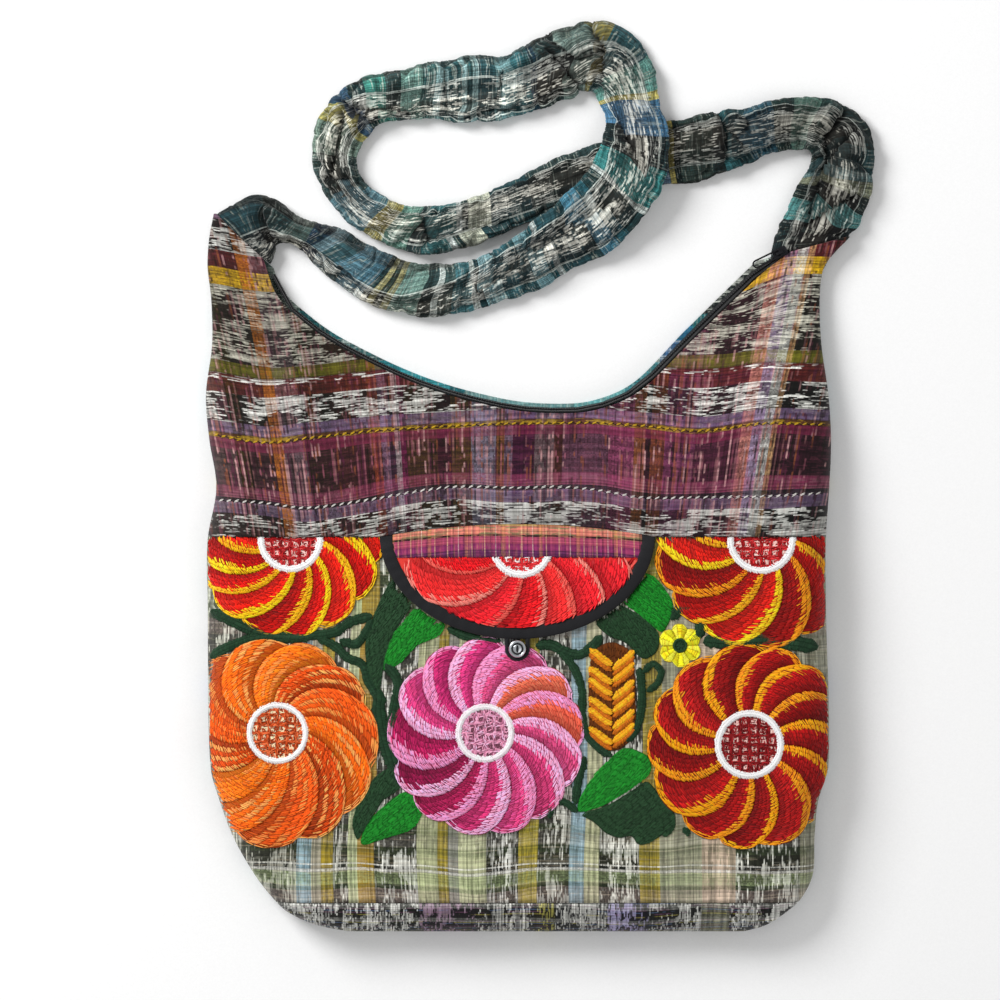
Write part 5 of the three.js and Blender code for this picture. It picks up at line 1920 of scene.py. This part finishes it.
    def build(self) -> None:
        """Makes and dresses the strap."""
        at = np.linspace(0, len(self.lays) - 1, self.steps)
        columns = np.array(self.lays, float).T
        number = np.arange(len(self.lays))
        x, y, heading, wide, left, right, thick = (through(number, column, at) for column in columns)
        for end, way in ((0, -self.tuck), (-1, self.tuck)):
            x[end] += way * math.cos(math.radians(heading[end]))
            y[end] += way * math.sin(math.radians(heading[end]))
        run = np.concatenate([[0], np.cumsum(np.hypot(np.diff(x), np.diff(y)))])[:, None]
        turn = np.radians(heading)[:, None]
        spin = np.linspace(-math.pi / 2, 1.5 * math.pi, self.sides + 1)
        across = np.cos(spin)
        swell = np.sign(np.sin(spin)) * np.sqrt(np.maximum(0, 1 - np.abs(across) ** self.square))
        arc = self.girth * np.linspace(0, 1, self.sides + 1) + np.zeros((self.steps, 1))
        along = run + np.zeros(arc.shape)
        sewn = ease(at / self.sewn)[:, None] * ease((at[-1] - at) / self.sewn)[:, None]
        lump = 0.5 + 0.5 * ripple(along, 40 * across + np.zeros(arc.shape), 15, 8.5)
        away = wide[:, None] / 2 * across * (1 - self.lumps * np.clip(lump, 0, 1) * sewn)
        px, py = x[:, None] - np.sin(turn) * away, y[:, None] + np.cos(turn) * away
        top = np.clip(np.sin(spin) * 1.6 + 0.3, 0, 1)
        dip, line, roll_x, roll_y, slip = self._folds(px, py, at[:, None]) * sewn
        dent = self._dents(along, arc) * (1 - line) * sewn + dip
        bend = np.clip(np.gradient(heading, run[:, 0])[:, None] / self.tight, -1, 1) * across
        folds = np.clip(1 - np.abs(ripple(along, arc * 0.25, 11, 21.5)), 0, 1) ** 3
        most = self.deepest * thick[:, None]
        dent = most * np.tanh((dent + self.bunch * np.clip(bend, 0, 1) * folds * sewn) / most)
        seam = self.crease * np.exp(-((across / self.crease_wide) ** 2)) * (np.sin(spin) > 0)
        dent = dent * top + sewn * seam
        pull = (self.draw * dent + self.notch * line) * np.abs(across) ** 3 * np.sign(across)
        px, py = px + np.sin(turn) * pull + roll_x * top, py - np.cos(turn) * pull + roll_y * top
        floor = right[:, None] + (left - right)[:, None] * (across + 1) / 2
        z = floor + thick[:, None] / 2 * (1 + swell) - dent * np.clip(swell + 0.4, 0, 1)
        strap = tube("strap", np.stack([px, py, z], axis=-1), self._weave(run, along, arc, slip))
        # Painted shade: the cover darkens where it is drawn in, and a painted shadow line runs beside each
        # fold.
        shade = np.clip(self.pale - self.shade * dent, self.murk, self.pale) * (1 - self.dark * line)
        # Tone along the run, darker on the right arm, with painted shade at the strap's left root; times the
        # painted shade above.
        tone_and_shade = np.interp(run, *zip(*self.tone_and_shade)) * shade
        store(strap.data, "tone_and_shade", "FLOAT", np.append(tone_and_shade[:, :-1].ravel(), tone_and_shade[[0, -1], 0]))
        self._settle(strap, np.append(dent[:, :-1].ravel(), [0, 0]))
        dress(strap, STRAP_COTTON.build(), ["shoulder_strap"])

    def _weave(self, run: Grid, along: Grid, arc: Grid, slip: Grid) -> Grid:
        """UV of the cover, from its place along and round the strap and how far its folds slip."""
        drift = np.interp(run, *zip(*self.drift)) + self.wander * np.sin(run / 23 + 1)
        sway = self.sway * ripple(along, arc, 26, 15.5)
        skew = self.skew * ease((arc - self.skew_from) / self.skew_reach)
        return np.stack([run + 1.4 * sway + slip + skew, arc + drift + sway], axis=-1) * MM

    def _settle(self, strap: Obj, dent: Grid) -> None:
        """Lets the cover wrinkle, pinned underneath and less free in folds and where the strap crosses."""
        ring = np.concatenate([np.tile(np.arange(self.sides), self.steps), [0, 0]])
        step = np.concatenate([np.repeat(np.arange(self.steps), self.sides), [0, self.steps - 1]])
        last = len(self.lays) - 1
        at = step * last / (self.steps - 1)
        high = -np.cos(2 * math.pi * ring / self.sides)
        ends = (at < self.pinned_ends) | (at > last - self.pinned_ends)
        held = np.where((high < self.pinned) | ends, 1.0, 0.0)
        loose = np.clip(1.3 - dent / 2.5, 0.08, 1)
        for first, past in self.crossings:
            loose[(at > first) & (at < past)] *= self.crossing_slack
        self.settle.run(strap, held, loose)

    def _dents(self, run: Grid, arc: Grid) -> Grid:
        """How far cross gathers and long folds draw the cover in, from its place on the strap."""
        total = np.zeros(run.shape)
        for g in self.gathers:
            hump = 0.5 + 0.5 * ripple(run * g.along, arc * g.around, g.size, g.seed)
            total += self.gather * g.share * hump
        for ridge in (ripple(run * 0.14, arc, 9, 11.5), ripple(run + 0.5 * arc, arc * 0.4, 17, 13.5)):
            total = total + self.pinch * np.clip(1 - np.abs(ridge), 0, 1) ** 6
        return np.maximum(total, 0)

    def _folds(self, x: Grid, y: Grid, at: Grid) -> Grid:
        """Sharp folds, where the cover on the right of a line rolls over the cover on its left.

        Args:
            x: places across the floor.
            y: places along the floor.
            at: place along the table of lays.

        Returns:
            Depth of the dip, a painted shadow line from 0 to 1, the cover's roll in x and in y, and the slip
            of its weave.
        """
        dip, line, roll_x, roll_y, slip = np.zeros((5, *x.shape))
        for c in self.creases:
            dx, dy = c.x1 - c.x0, c.y1 - c.y0
            length = math.hypot(dx, dy)
            along = ((x - c.x0) * dx + (y - c.y0) * dy) / length
            side = ((x - c.x0) * dy - (y - c.y0) * dx) / length
            near = ease((along + c.wide) / (2 * c.wide)) * ease((length + c.wide - along) / (2 * c.wide))
            near = near * ((at > c.first) & (at < c.last))
            over, below = near * (side > 0), near * (side <= 0)
            roll = self.roll * c.wide * over * np.exp(-np.abs(side) / (self.reach * c.wide))
            roll_x -= roll * dy / length
            roll_y += roll * dx / length
            lip = self.lip * np.exp(-((side / self.lip_wide) ** 2))
            lip -= self.puff * np.exp(-((side / c.wide - self.puff_at) ** 2))
            under = self.press * below * np.exp(-((side / (self.press_wide * c.wide)) ** 2))
            dip += c.deep * (under + over * lip)
            shadow = below * np.exp(-((side / (self.line_wide * c.wide)) ** 2))
            line = np.maximum(line, min(1.0, c.deep / self.full_line) * shadow)
            slip += self.slip * below * np.exp(-np.abs(side) / self.slip_reach)
        return np.stack([dip, line, roll_x, roll_y, slip])


# Finishes

# Hand-woven cotton, its threads tied and dyed before weaving: dull, with broken dashes in bright bands
YOKE_COTTON = Jaspe(
    "jaspe cotton, plum",
    table(
        Band,
        (60, "#0e0f0d", "#f4f4ec", 0.84, 0.4), (89.5, "#6a5472", "#b9a6b0", 0.3, 0.85),
        (95.6, "#3a2c38", "#141413", 0.9, 0.3), (98.4, "#7a2f4c", "#a0707b", 0.3, 0.7),
        (104.7, "#280e19", "#5c2a3a", 0.6, 0.9), (124.5, "#6c1e3c", "#8a3a54", 0.3, 0.55),
        (129.8, "#5c3a1c", "#c8a423", 0.7, 0.4), (133.4, "#6f5a7b", "#b8a8ac", 0.3, 0.85),
        (140, "#0e0f0d", "#f8f8f0", 0.92, 0.4), (156, "#4a1415", "#7a3423", 0.4, 0.7),
        (163, "#5a201c", "#fafaf2", 0.9, 0.3), (166.4, "#5c5a12", "#848227", 0.4, 0.6),
        (173, "#15140d", "#e2dfcc", 0.85, 0.5), (217, "#f0be1e", "#4a3614", 0.45, 0.9),
        (228, "#4c1419", "#7c2c2a", 0.4, 0.8), (237, "#161614", "#fafaf2", 1.0, 0.4),
        (255, "#7c5a76", "#b8a8ac", 0.4, 0.6),
    ),
    table(
        Stripe,
        (-200, "#5c4c46", 0.5), (-158, "#38300d", 0.8), (-152, "#3a302a", 0.45), (-138, "#b86c26", 0.9),
        (-132.8, "#7a686d", 0.45), (-120, "#241e0e", 0.6), (-104, "#4a2a1c", 0.4), (-82, "#a04a2a", 0.55),
        (-78, "#8a6a82", 0.5), (-73, "#3a2c3f", 0.45), (-70, "#b4a4a5", 0.5), (-66, "#7a204d", 0.5),
        (-63, "#4c3610", 0.5), (-46, "#3a141c", 0.45), (-39, "#5c4417", 0.5), (-27, "#90889b", 0.55),
        (-14, "#8a5a2a", 0.6), (-9, "#8a788d", 0.4), (-4, "#4a103c", 0.4), (8, "#7a6a6b", 0.45),
        (19, "#4a2815", 0.55), (24, "#8a5a71", 0.35), (50, "#a04c71", 0.45), (64, "#9a5a31", 0.5),
        (69, "#221215", 0.45), (73, "#904c27", 0.5), (80, "#8a406a", 0.45), (98, "#5a243f", 0.35),
        (122.5, "#d88c80", 0.65), (129, "#b49cbc", 0.62), (135.5, "#ecece4", 0.62),
        (139.5, "#cca070", 0.6), (143.5, "#1c1814", 0.25),
    ),
    ("#b4787b", "#3a1423", "#a05a6a", "#2a1015", "#8a4c31", "#1c120b", "#c09090", "#4a1c31"),
    Axis.V, low=60, high=265, cross_low=-200, cross_high=200, stray=0.85, dash=5.5, bundle=0.65,
    stray_size=1.0, clump=0.9, dye=0.76, uneven=True,
)

PANEL_COTTON = Jaspe(
    "jaspe cotton, olive",
    table(
        Band,
        (-180, "#282a24", "#e0e0d0", 0.85), (-125, "#9ab8c4", "#485450", 0.55),
        (-116, "#b8b09a", "#8a8a78", 0.3), (-111, "#a8902c", "#3c3818", 0.55),
        (-104, "#262822", "#eeeee0", 0.9), (-95, "#bcc496", "#585a40", 0.5),
        (-89, "#a08028", "#8a7028", 0.3), (-79, "#1e201c", "#f2f2e8", 0.95),
        (-56, "#bcc094", "#585a40", 0.55), (-44, "#a8942e", "#3c3818", 0.55),
        (-38, "#8a8a80", "#4a4a44", 0.4), (-33, "#c2c69c", "#585a40", 0.6),
        (-18, "#181a18", "#f4f4ec", 0.95), (1, "#a8962e", "#3c3818", 0.55),
        (12, "#1e201a", "#f2f2e6", 0.95), (30, "#9ab8c4", "#485450", 0.5),
        (38, "#c8c8a0", "#585a40", 0.55), (47, "#1e201a", "#f2f2e6", 0.95),
        (70, "#a8942e", "#3c3818", 0.55), (81, "#a8a88c", "#4a4a44", 0.4),
        (104, "#d8c0a8", "#5c5a44", 0.55), (122, "#1c1e1a", "#f2f2e6", 0.95),
        (160, "#7a7a64", "#c8c8b4", 0.4),
    ),
    table(
        Stripe,
        (-140, "#e0c8bc", 0.3), (-124.5, "#4a5a3a", 0.5), (-122, "#b8cc90", 0.5),
        (-114.6, "#f0eee4", 1.0), (-113.4, "#4a4a40", 0.1), (-111.6, "#f0eee4", 1.0),
        (-110.4, "#7a7c50", 0.1), (-104, "#5a6a44", 0.45), (-100, "#e0d8c8", 0.15), (-92, "#5a6a44", 0.4),
        (-88, "#e0d8c8", 0.1), (20, "#e0c8bc", 0.3), (30, "#b8cc90", 0.2),
    ),
    ("#e0dccc", "#2c2e28", "#9a9a78", "#3a3c30", "#c8b8a0", "#5a5c40"),
    Axis.U, low=-180, high=180, cross_low=-140, cross_high=85, stray=0.4, clump=0.8, dye=0.76,
)

BASE_COTTON = Jaspe(
    "jaspe cotton, charcoal",
    table(
        Band,
        (-180, "#2a2a26", "#f2f2ea", 0.95), (-92, "#181c17", "#f2f2ea", 0.95),
        (-58, "#201c20", "#c8a8c0", 0.9), (-26, "#222220", "#f2f2ea", 0.95),
        (8, "#2a2818", "#dcd46c", 0.9), (20, "#1c1e20", "#f2f2ea", 0.95), (52, "#1e1c24", "#c0b8e0", 0.9),
        (74, "#202220", "#f2f2ea", 0.95), (104, "#8a8a74", "#2c2c26", 0.6),
        (120, "#1c1c1a", "#f2f2ea", 0.95),
    ),
    table(
        Stripe,
        (-200, "#141414", 0.3), (-152, "#0c0c0c", 0.5), (-146, "#d8d8d0", 0.35), (-143, "#141414", 0.4),
        (-136, "#d8d8d0", 0.3),
    ),
    ("#d8d8d0", "#121212", "#a0648c", "#1c1c1a", "#7a94c4", "#181816", "#c0b44c", "#262622"),
    Axis.U, low=-180, high=180, cross_low=-200, cross_high=-120, stray=0.6, dash=4.5, clump=0.8, dye=0.8,
)

STRAP_COTTON = Jaspe(
    "jaspe cotton, teal",
    table(
        Band,
        (-40, "#1c201e", "#8a908a", 0.5, 0.35), (18, "#234f53", "#12282a", 0.4, 1.0),
        (31, "#d4dcd4", "#16201f", 0.8, 0.3), (31.9, "#0e1010", "#f4f4ea", 0.95, 0.35),
        (38, "#2e2a25", "#f4f0e2", 0.95, 0.35), (47, "#0e1010", "#f0f0e6", 0.95, 0.35),
        (53, "#d4dcd4", "#16201f", 0.8, 0.3), (53.9, "#234f53", "#12282a", 0.4, 1.0),
        (67, "#1c201e", "#8a908a", 0.5, 0.35),
    ),
    table(
        Stripe,
        (0, "#395760", 0.6), (14, "#2b2e2b", 0.6), (28, "#5c665c", 0.6), (45, "#22304a", 0.8),
        (49, "#b4c0c4", 0.7), (51, "#2a3c50", 0.8), (55, "#7c98a2", 0.8), (62, "#3f5f66", 0.8),
        (70, "#d0dcdc", 0.8), (71, "#6c98aa", 0.85), (80, "#557f92", 0.85), (88, "#1e2c30", 0.8),
        (91, "#b8b078", 0.8), (95, "#3c3c2a", 0.75), (98, "#c4bc84", 0.75), (102, "#22302c", 0.7),
        (104, "#86a89c", 0.85), (116, "#2e3a38", 0.8), (119, "#d0dad4", 0.8), (120.2, "#3a4644", 0.7),
        (125, "#d0dad4", 0.8), (126.2, "#4a5c58", 0.7), (134, "#4d7f86", 0.85), (146, "#dae2dd", 0.8),
        (147, "#1c3338", 0.85), (150, "#dae2dd", 0.8), (151, "#8cb2b8", 0.9), (162, "#3b6770", 0.8),
        (172, "#d3dcd9", 0.7), (173, "#2f5258", 0.8), (182, "#7aa4ac", 0.8), (189, "#2c5a62", 0.8),
        (194, "#d3dcd9", 0.7), (195, "#2b4c54", 0.85), (210, "#dae2dd", 0.8), (211, "#1e353a", 0.85),
        (217, "#5088a0", 0.85), (227, "#2c5c68", 0.85), (236, "#233a3c", 0.9), (246, "#dae2dd", 0.8),
        (247.2, "#428f8d", 0.95), (266, "#22282a", 0.9), (283, "#5180a4", 0.95), (299, "#c8bc6a", 0.85),
        (303, "#689a8f", 0.9), (317, "#365b60", 0.85), (333, "#8a7f47", 0.8), (343, "#81948b", 0.85),
        (357, "#2e3431", 0.8), (370, "#273f50", 0.85), (375, "#3a6c72", 0.9), (385, "#759a9c", 0.9),
        (395, "#2e4f54", 0.9), (406, "#93b4b4", 0.9), (409, "#2a4d50", 0.9), (413, "#93b4b4", 0.9),
        (416, "#2a4d50", 0.9), (425, "#93b4b4", 0.85), (428, "#2e504e", 0.9), (438, "#759a8f", 0.9),
        (450, "#2f3a37", 0.85), (456, "#438a7c", 0.9), (466, "#dae2dd", 0.8), (467.2, "#202c2c", 0.8),
        (470, "#dae2dd", 0.8), (471.2, "#202c2c", 0.8), (475, "#3d5770", 0.9), (484, "#b8af64", 0.85),
        (493, "#859a8a", 0.85), (506, "#dae2dd", 0.8), (507.2, "#36403b", 0.8), (513, "#dae2dd", 0.8),
        (514.2, "#3d4643", 0.7), (530, "#688d98", 0.9), (546, "#b0a465", 0.85), (558, "#76a090", 0.9),
        (572, "#dae2dd", 0.8), (573, "#2e3a3a", 0.8), (580, "#3d6e70", 0.9), (597, "#dae2dd", 0.8),
        (598, "#25302e", 0.8), (604, "#d9dcc6", 0.9), (616, "#2c494e", 0.85), (640, "#3e4a48", 0.7),
        (705, "#697f98", 0.9), (724, "#b8aa61", 0.85), (729, "#18201e", 0.85), (733, "#3e4a42", 0.85),
        (749, "#1e2422", 0.8), (755, "#438288", 0.9), (767, "#2a4b50", 0.9), (775, "#3f7084", 0.9),
        (787, "#233a35", 0.9), (793, "#a2a889", 0.8), (795, "#233a35", 0.9), (798, "#759c8c", 0.9),
        (809, "#29443f", 0.9), (818, "#dae2dd", 0.7), (819, "#252c2a", 0.85), (836, "#365558", 0.85),
        (846, "#93b4b4", 0.8), (850, "#b9bc9a", 0.8), (856, "#1e2422", 0.85), (866, "#70b8b5", 0.9),
        (877, "#27282a", 0.8),
    ),
    ("#e0e4dc", "#141a18", "#5a706a", "#182220", "#a8b0a4", "#1c2624"),
    Axis.V, low=-40, high=110, cross_low=0, cross_high=890, stray=0.6, dash=4.8, bundle=0.5, shade=0.45,
    stray_size=0.5, thread=0.55, few=0.035, clump=0.8, uneven=True, dye=0.88,
)

BACK_COTTON = Jaspe(
    "jaspe cotton, teal back",
    table(
        Band,
        (-150, "#262c2a", "#c0c8c2", 0.6), (-120, "#27585c", "#183a40", 0.4, 0.9),
        (-100, "#1f2423", "#dfe2da", 0.75, 0.4), (-62, "#8fb0a4", "#405450", 0.4, 0.8),
        (-50, "#1a1f1f", "#c8ccc2", 0.75, 0.4), (-18, "#2f62a0", "#1c3450", 0.4, 0.8),
        (-4, "#2c2e2c", "#eceee6", 0.75, 0.4), (40, "#255e63", "#173538", 0.4, 0.9),
        (60, "#1f2423", "#dfe2da", 0.75, 0.4), (104, "#c8b84a", "#4a4a2a", 0.5),
        (110, "#262c2a", "#c0c8c2", 0.7, 0.4), (142, "#2c7a84", "#1a4a50", 0.4, 0.7),
        (176, "#3a4a48", "#c8d0c8", 0.6), (190, "#27686c", "#123034", 0.5),
        (206, "#1a1f1f", "#c8ccc2", 0.7, 0.4),
    ),
    table(
        Stripe,
        (-200, "#10201f", 0.4), (-150, "#8fb0a4", 0.6), (-128, "#10201f", 0.7), (-110, "#27686c", 0.7),
        (-70, "#3c9aa0", 0.7), (-40, "#10201f", 0.6), (-30, "#8fa8a0", 0.7), (30, "#7fb3ad", 0.7),
        (60, "#4a6a68", 0.6), (80, "#2f62a0", 0.6), (100, "#10201f", 0.4), (140, "#8fb0a4", 0.6),
        (160, "#10201f", 0.6),
    ),
    ("#e0e4dc", "#141a18", "#5a706a", "#182220", "#a8b0a4", "#1c2624"),
    Axis.V, low=-150, high=265, cross_low=-200, cross_high=200, stray=0.4,
)

PLAID_COTTON = Jaspe(
    "plaid cotton, salmon and magenta",
    table(
        Band,
        (60, "#5a2450", "#7a3a6a", 0.4), (69, "#7c2a5a", "#a03a68", 0.4),
        (72.6, "#b0486a", "#c85a70", 0.4), (76.6, "#2c1a1c", "#c8806c", 0.5, 0.4),
        (77.8, "#d07868", "#7a7450", 1.0), (82.8, "#c8885c", "#dcc070", 0.8),
    ),
    table(
        Stripe,
        (0, "#3a1428", 0.1), (2.2, "#e8c890", 0.6), (2.8, "#3a1428", 0.0), (5.4, "#2a1020", 0.7),
        (6.2, "#c85a60", 0.2), (8.4, "#f0d8c8", 0.55), (9.0, "#3a1428", 0.0), (11.2, "#2a1020", 0.7),
        (12.2, "#d8a040", 0.35), (14.2, "#3a1428", 0.0), (16.0, "#e8c890", 0.6), (16.6, "#2a1020", 0.4),
        (18.4, "#c85a60", 0.2),
    ),
    ("#e8b088", "#3a1428", "#d86a60", "#7a2c50", "#5a2048", "#c89a58"),
    Axis.V, low=60, high=88, cross_low=0, cross_high=21, repeat=21, stray=0.3, dash=6,
)

# Plain-woven cotton dyed through, dull, with the grain of its yarn
CORAL_COTTON = Plain("plain-woven cotton, coral", "#d8382e", 0.85, sheen=0.2, grain=0.9, vary=0.25)

# Cotton twill tape: near black, with a soft bloom on its rolled edges
BLACK_TWILL = Plain("cotton twill, black", "#101014", 0.8, sheen=0.12, grain=0.8, vary=0.35)

# Nickel-plated brass, polished and a little worn
NICKEL = Plain("nickel-plated brass", "#c9ccd0", 0.22, 1.0, grain=1.6, vary=0.12)

# Woven nylon tape: black with a slight gloss
ZIP_TAPE = Plain("woven nylon, black", "#101012", 0.5, grain=0.7, vary=0.3)

# Black-lacquered steel wire and zinc casting
BLACK_STEEL = Plain("black-lacquered steel", "#232327", 0.32, 0.6, grain=1.2, vary=0.2)

FLOSS = Floss()


@dataclass
class Studio:
    """Pale floor, soft light from above and the camera straight over the bag."""

    height: float = 2875.0
    lens: float = 180.0

    def build(self) -> None:
        """Makes the floor, the lights and the camera."""
        self._floor()
        self._light("key", (-1.3, 1.2, 1.25), 0.9, 43)
        self._light("fill", (1.1, -0.8, 1.7), 1.6, 6)
        world = bpy.data.worlds.new("studio")
        world.use_nodes = True
        ground = world.node_tree.nodes["Background"].inputs
        ground["Color"].default_value = (1, 1, 1, 1)
        ground["Strength"].default_value = 0.5
        bpy.context.scene.world = world
        bpy.context.scene.view_settings.view_transform = "Standard"
        data = bpy.data.cameras.new("camera")
        data.lens, data.sensor_width = self.lens, 36
        data.clip_end = 50
        camera = link("camera", data)
        camera.location = (MIDDLE[0] * MM, MIDDLE[1] * MM, self.height * MM)
        bpy.context.scene.camera = camera

    @staticmethod
    def _floor() -> None:
        """Makes the floor, just under the bag."""
        mesh = bpy.data.meshes.new("floor")
        reach, under = 6.0, -0.4 * MM
        corners = [(reach * x, reach * y, under) for x, y in ((-1, -1), (1, -1), (1, 1), (-1, 1))]
        mesh.from_pydata(corners, [], [(0, 1, 2, 3)])
        floor = link("floor", mesh)
        coat(mesh, Plain("matt white paint", "#f6f6f6", 0.9).build())

    @staticmethod
    def _light(name: str, place: tuple[float, float, float], size: float, power: float) -> None:
        """Adds a square soft light aimed at the bag."""
        data = bpy.data.lights.new(name, "AREA")
        data.size, data.energy = size, power
        light = link(name, data)
        light.location = place
        light.rotation_euler = (Vector((0, 0.1, 0)) - Vector(place)).to_track_quat("-Z", "Y").to_euler()


def main() -> None:
    """Builds the bag's pieces in order, then the studio."""
    logging.basicConfig(level=logging.INFO, format="%(message)s")
    pouch = Pouch()
    flap = Flap(pouch)
    for assembly in (Walls(pouch), flap, Embroidery(pouch, flap), Zip(pouch), Strap(), Studio()):
        assembly.build()


if __name__ == "__main__":
    main()
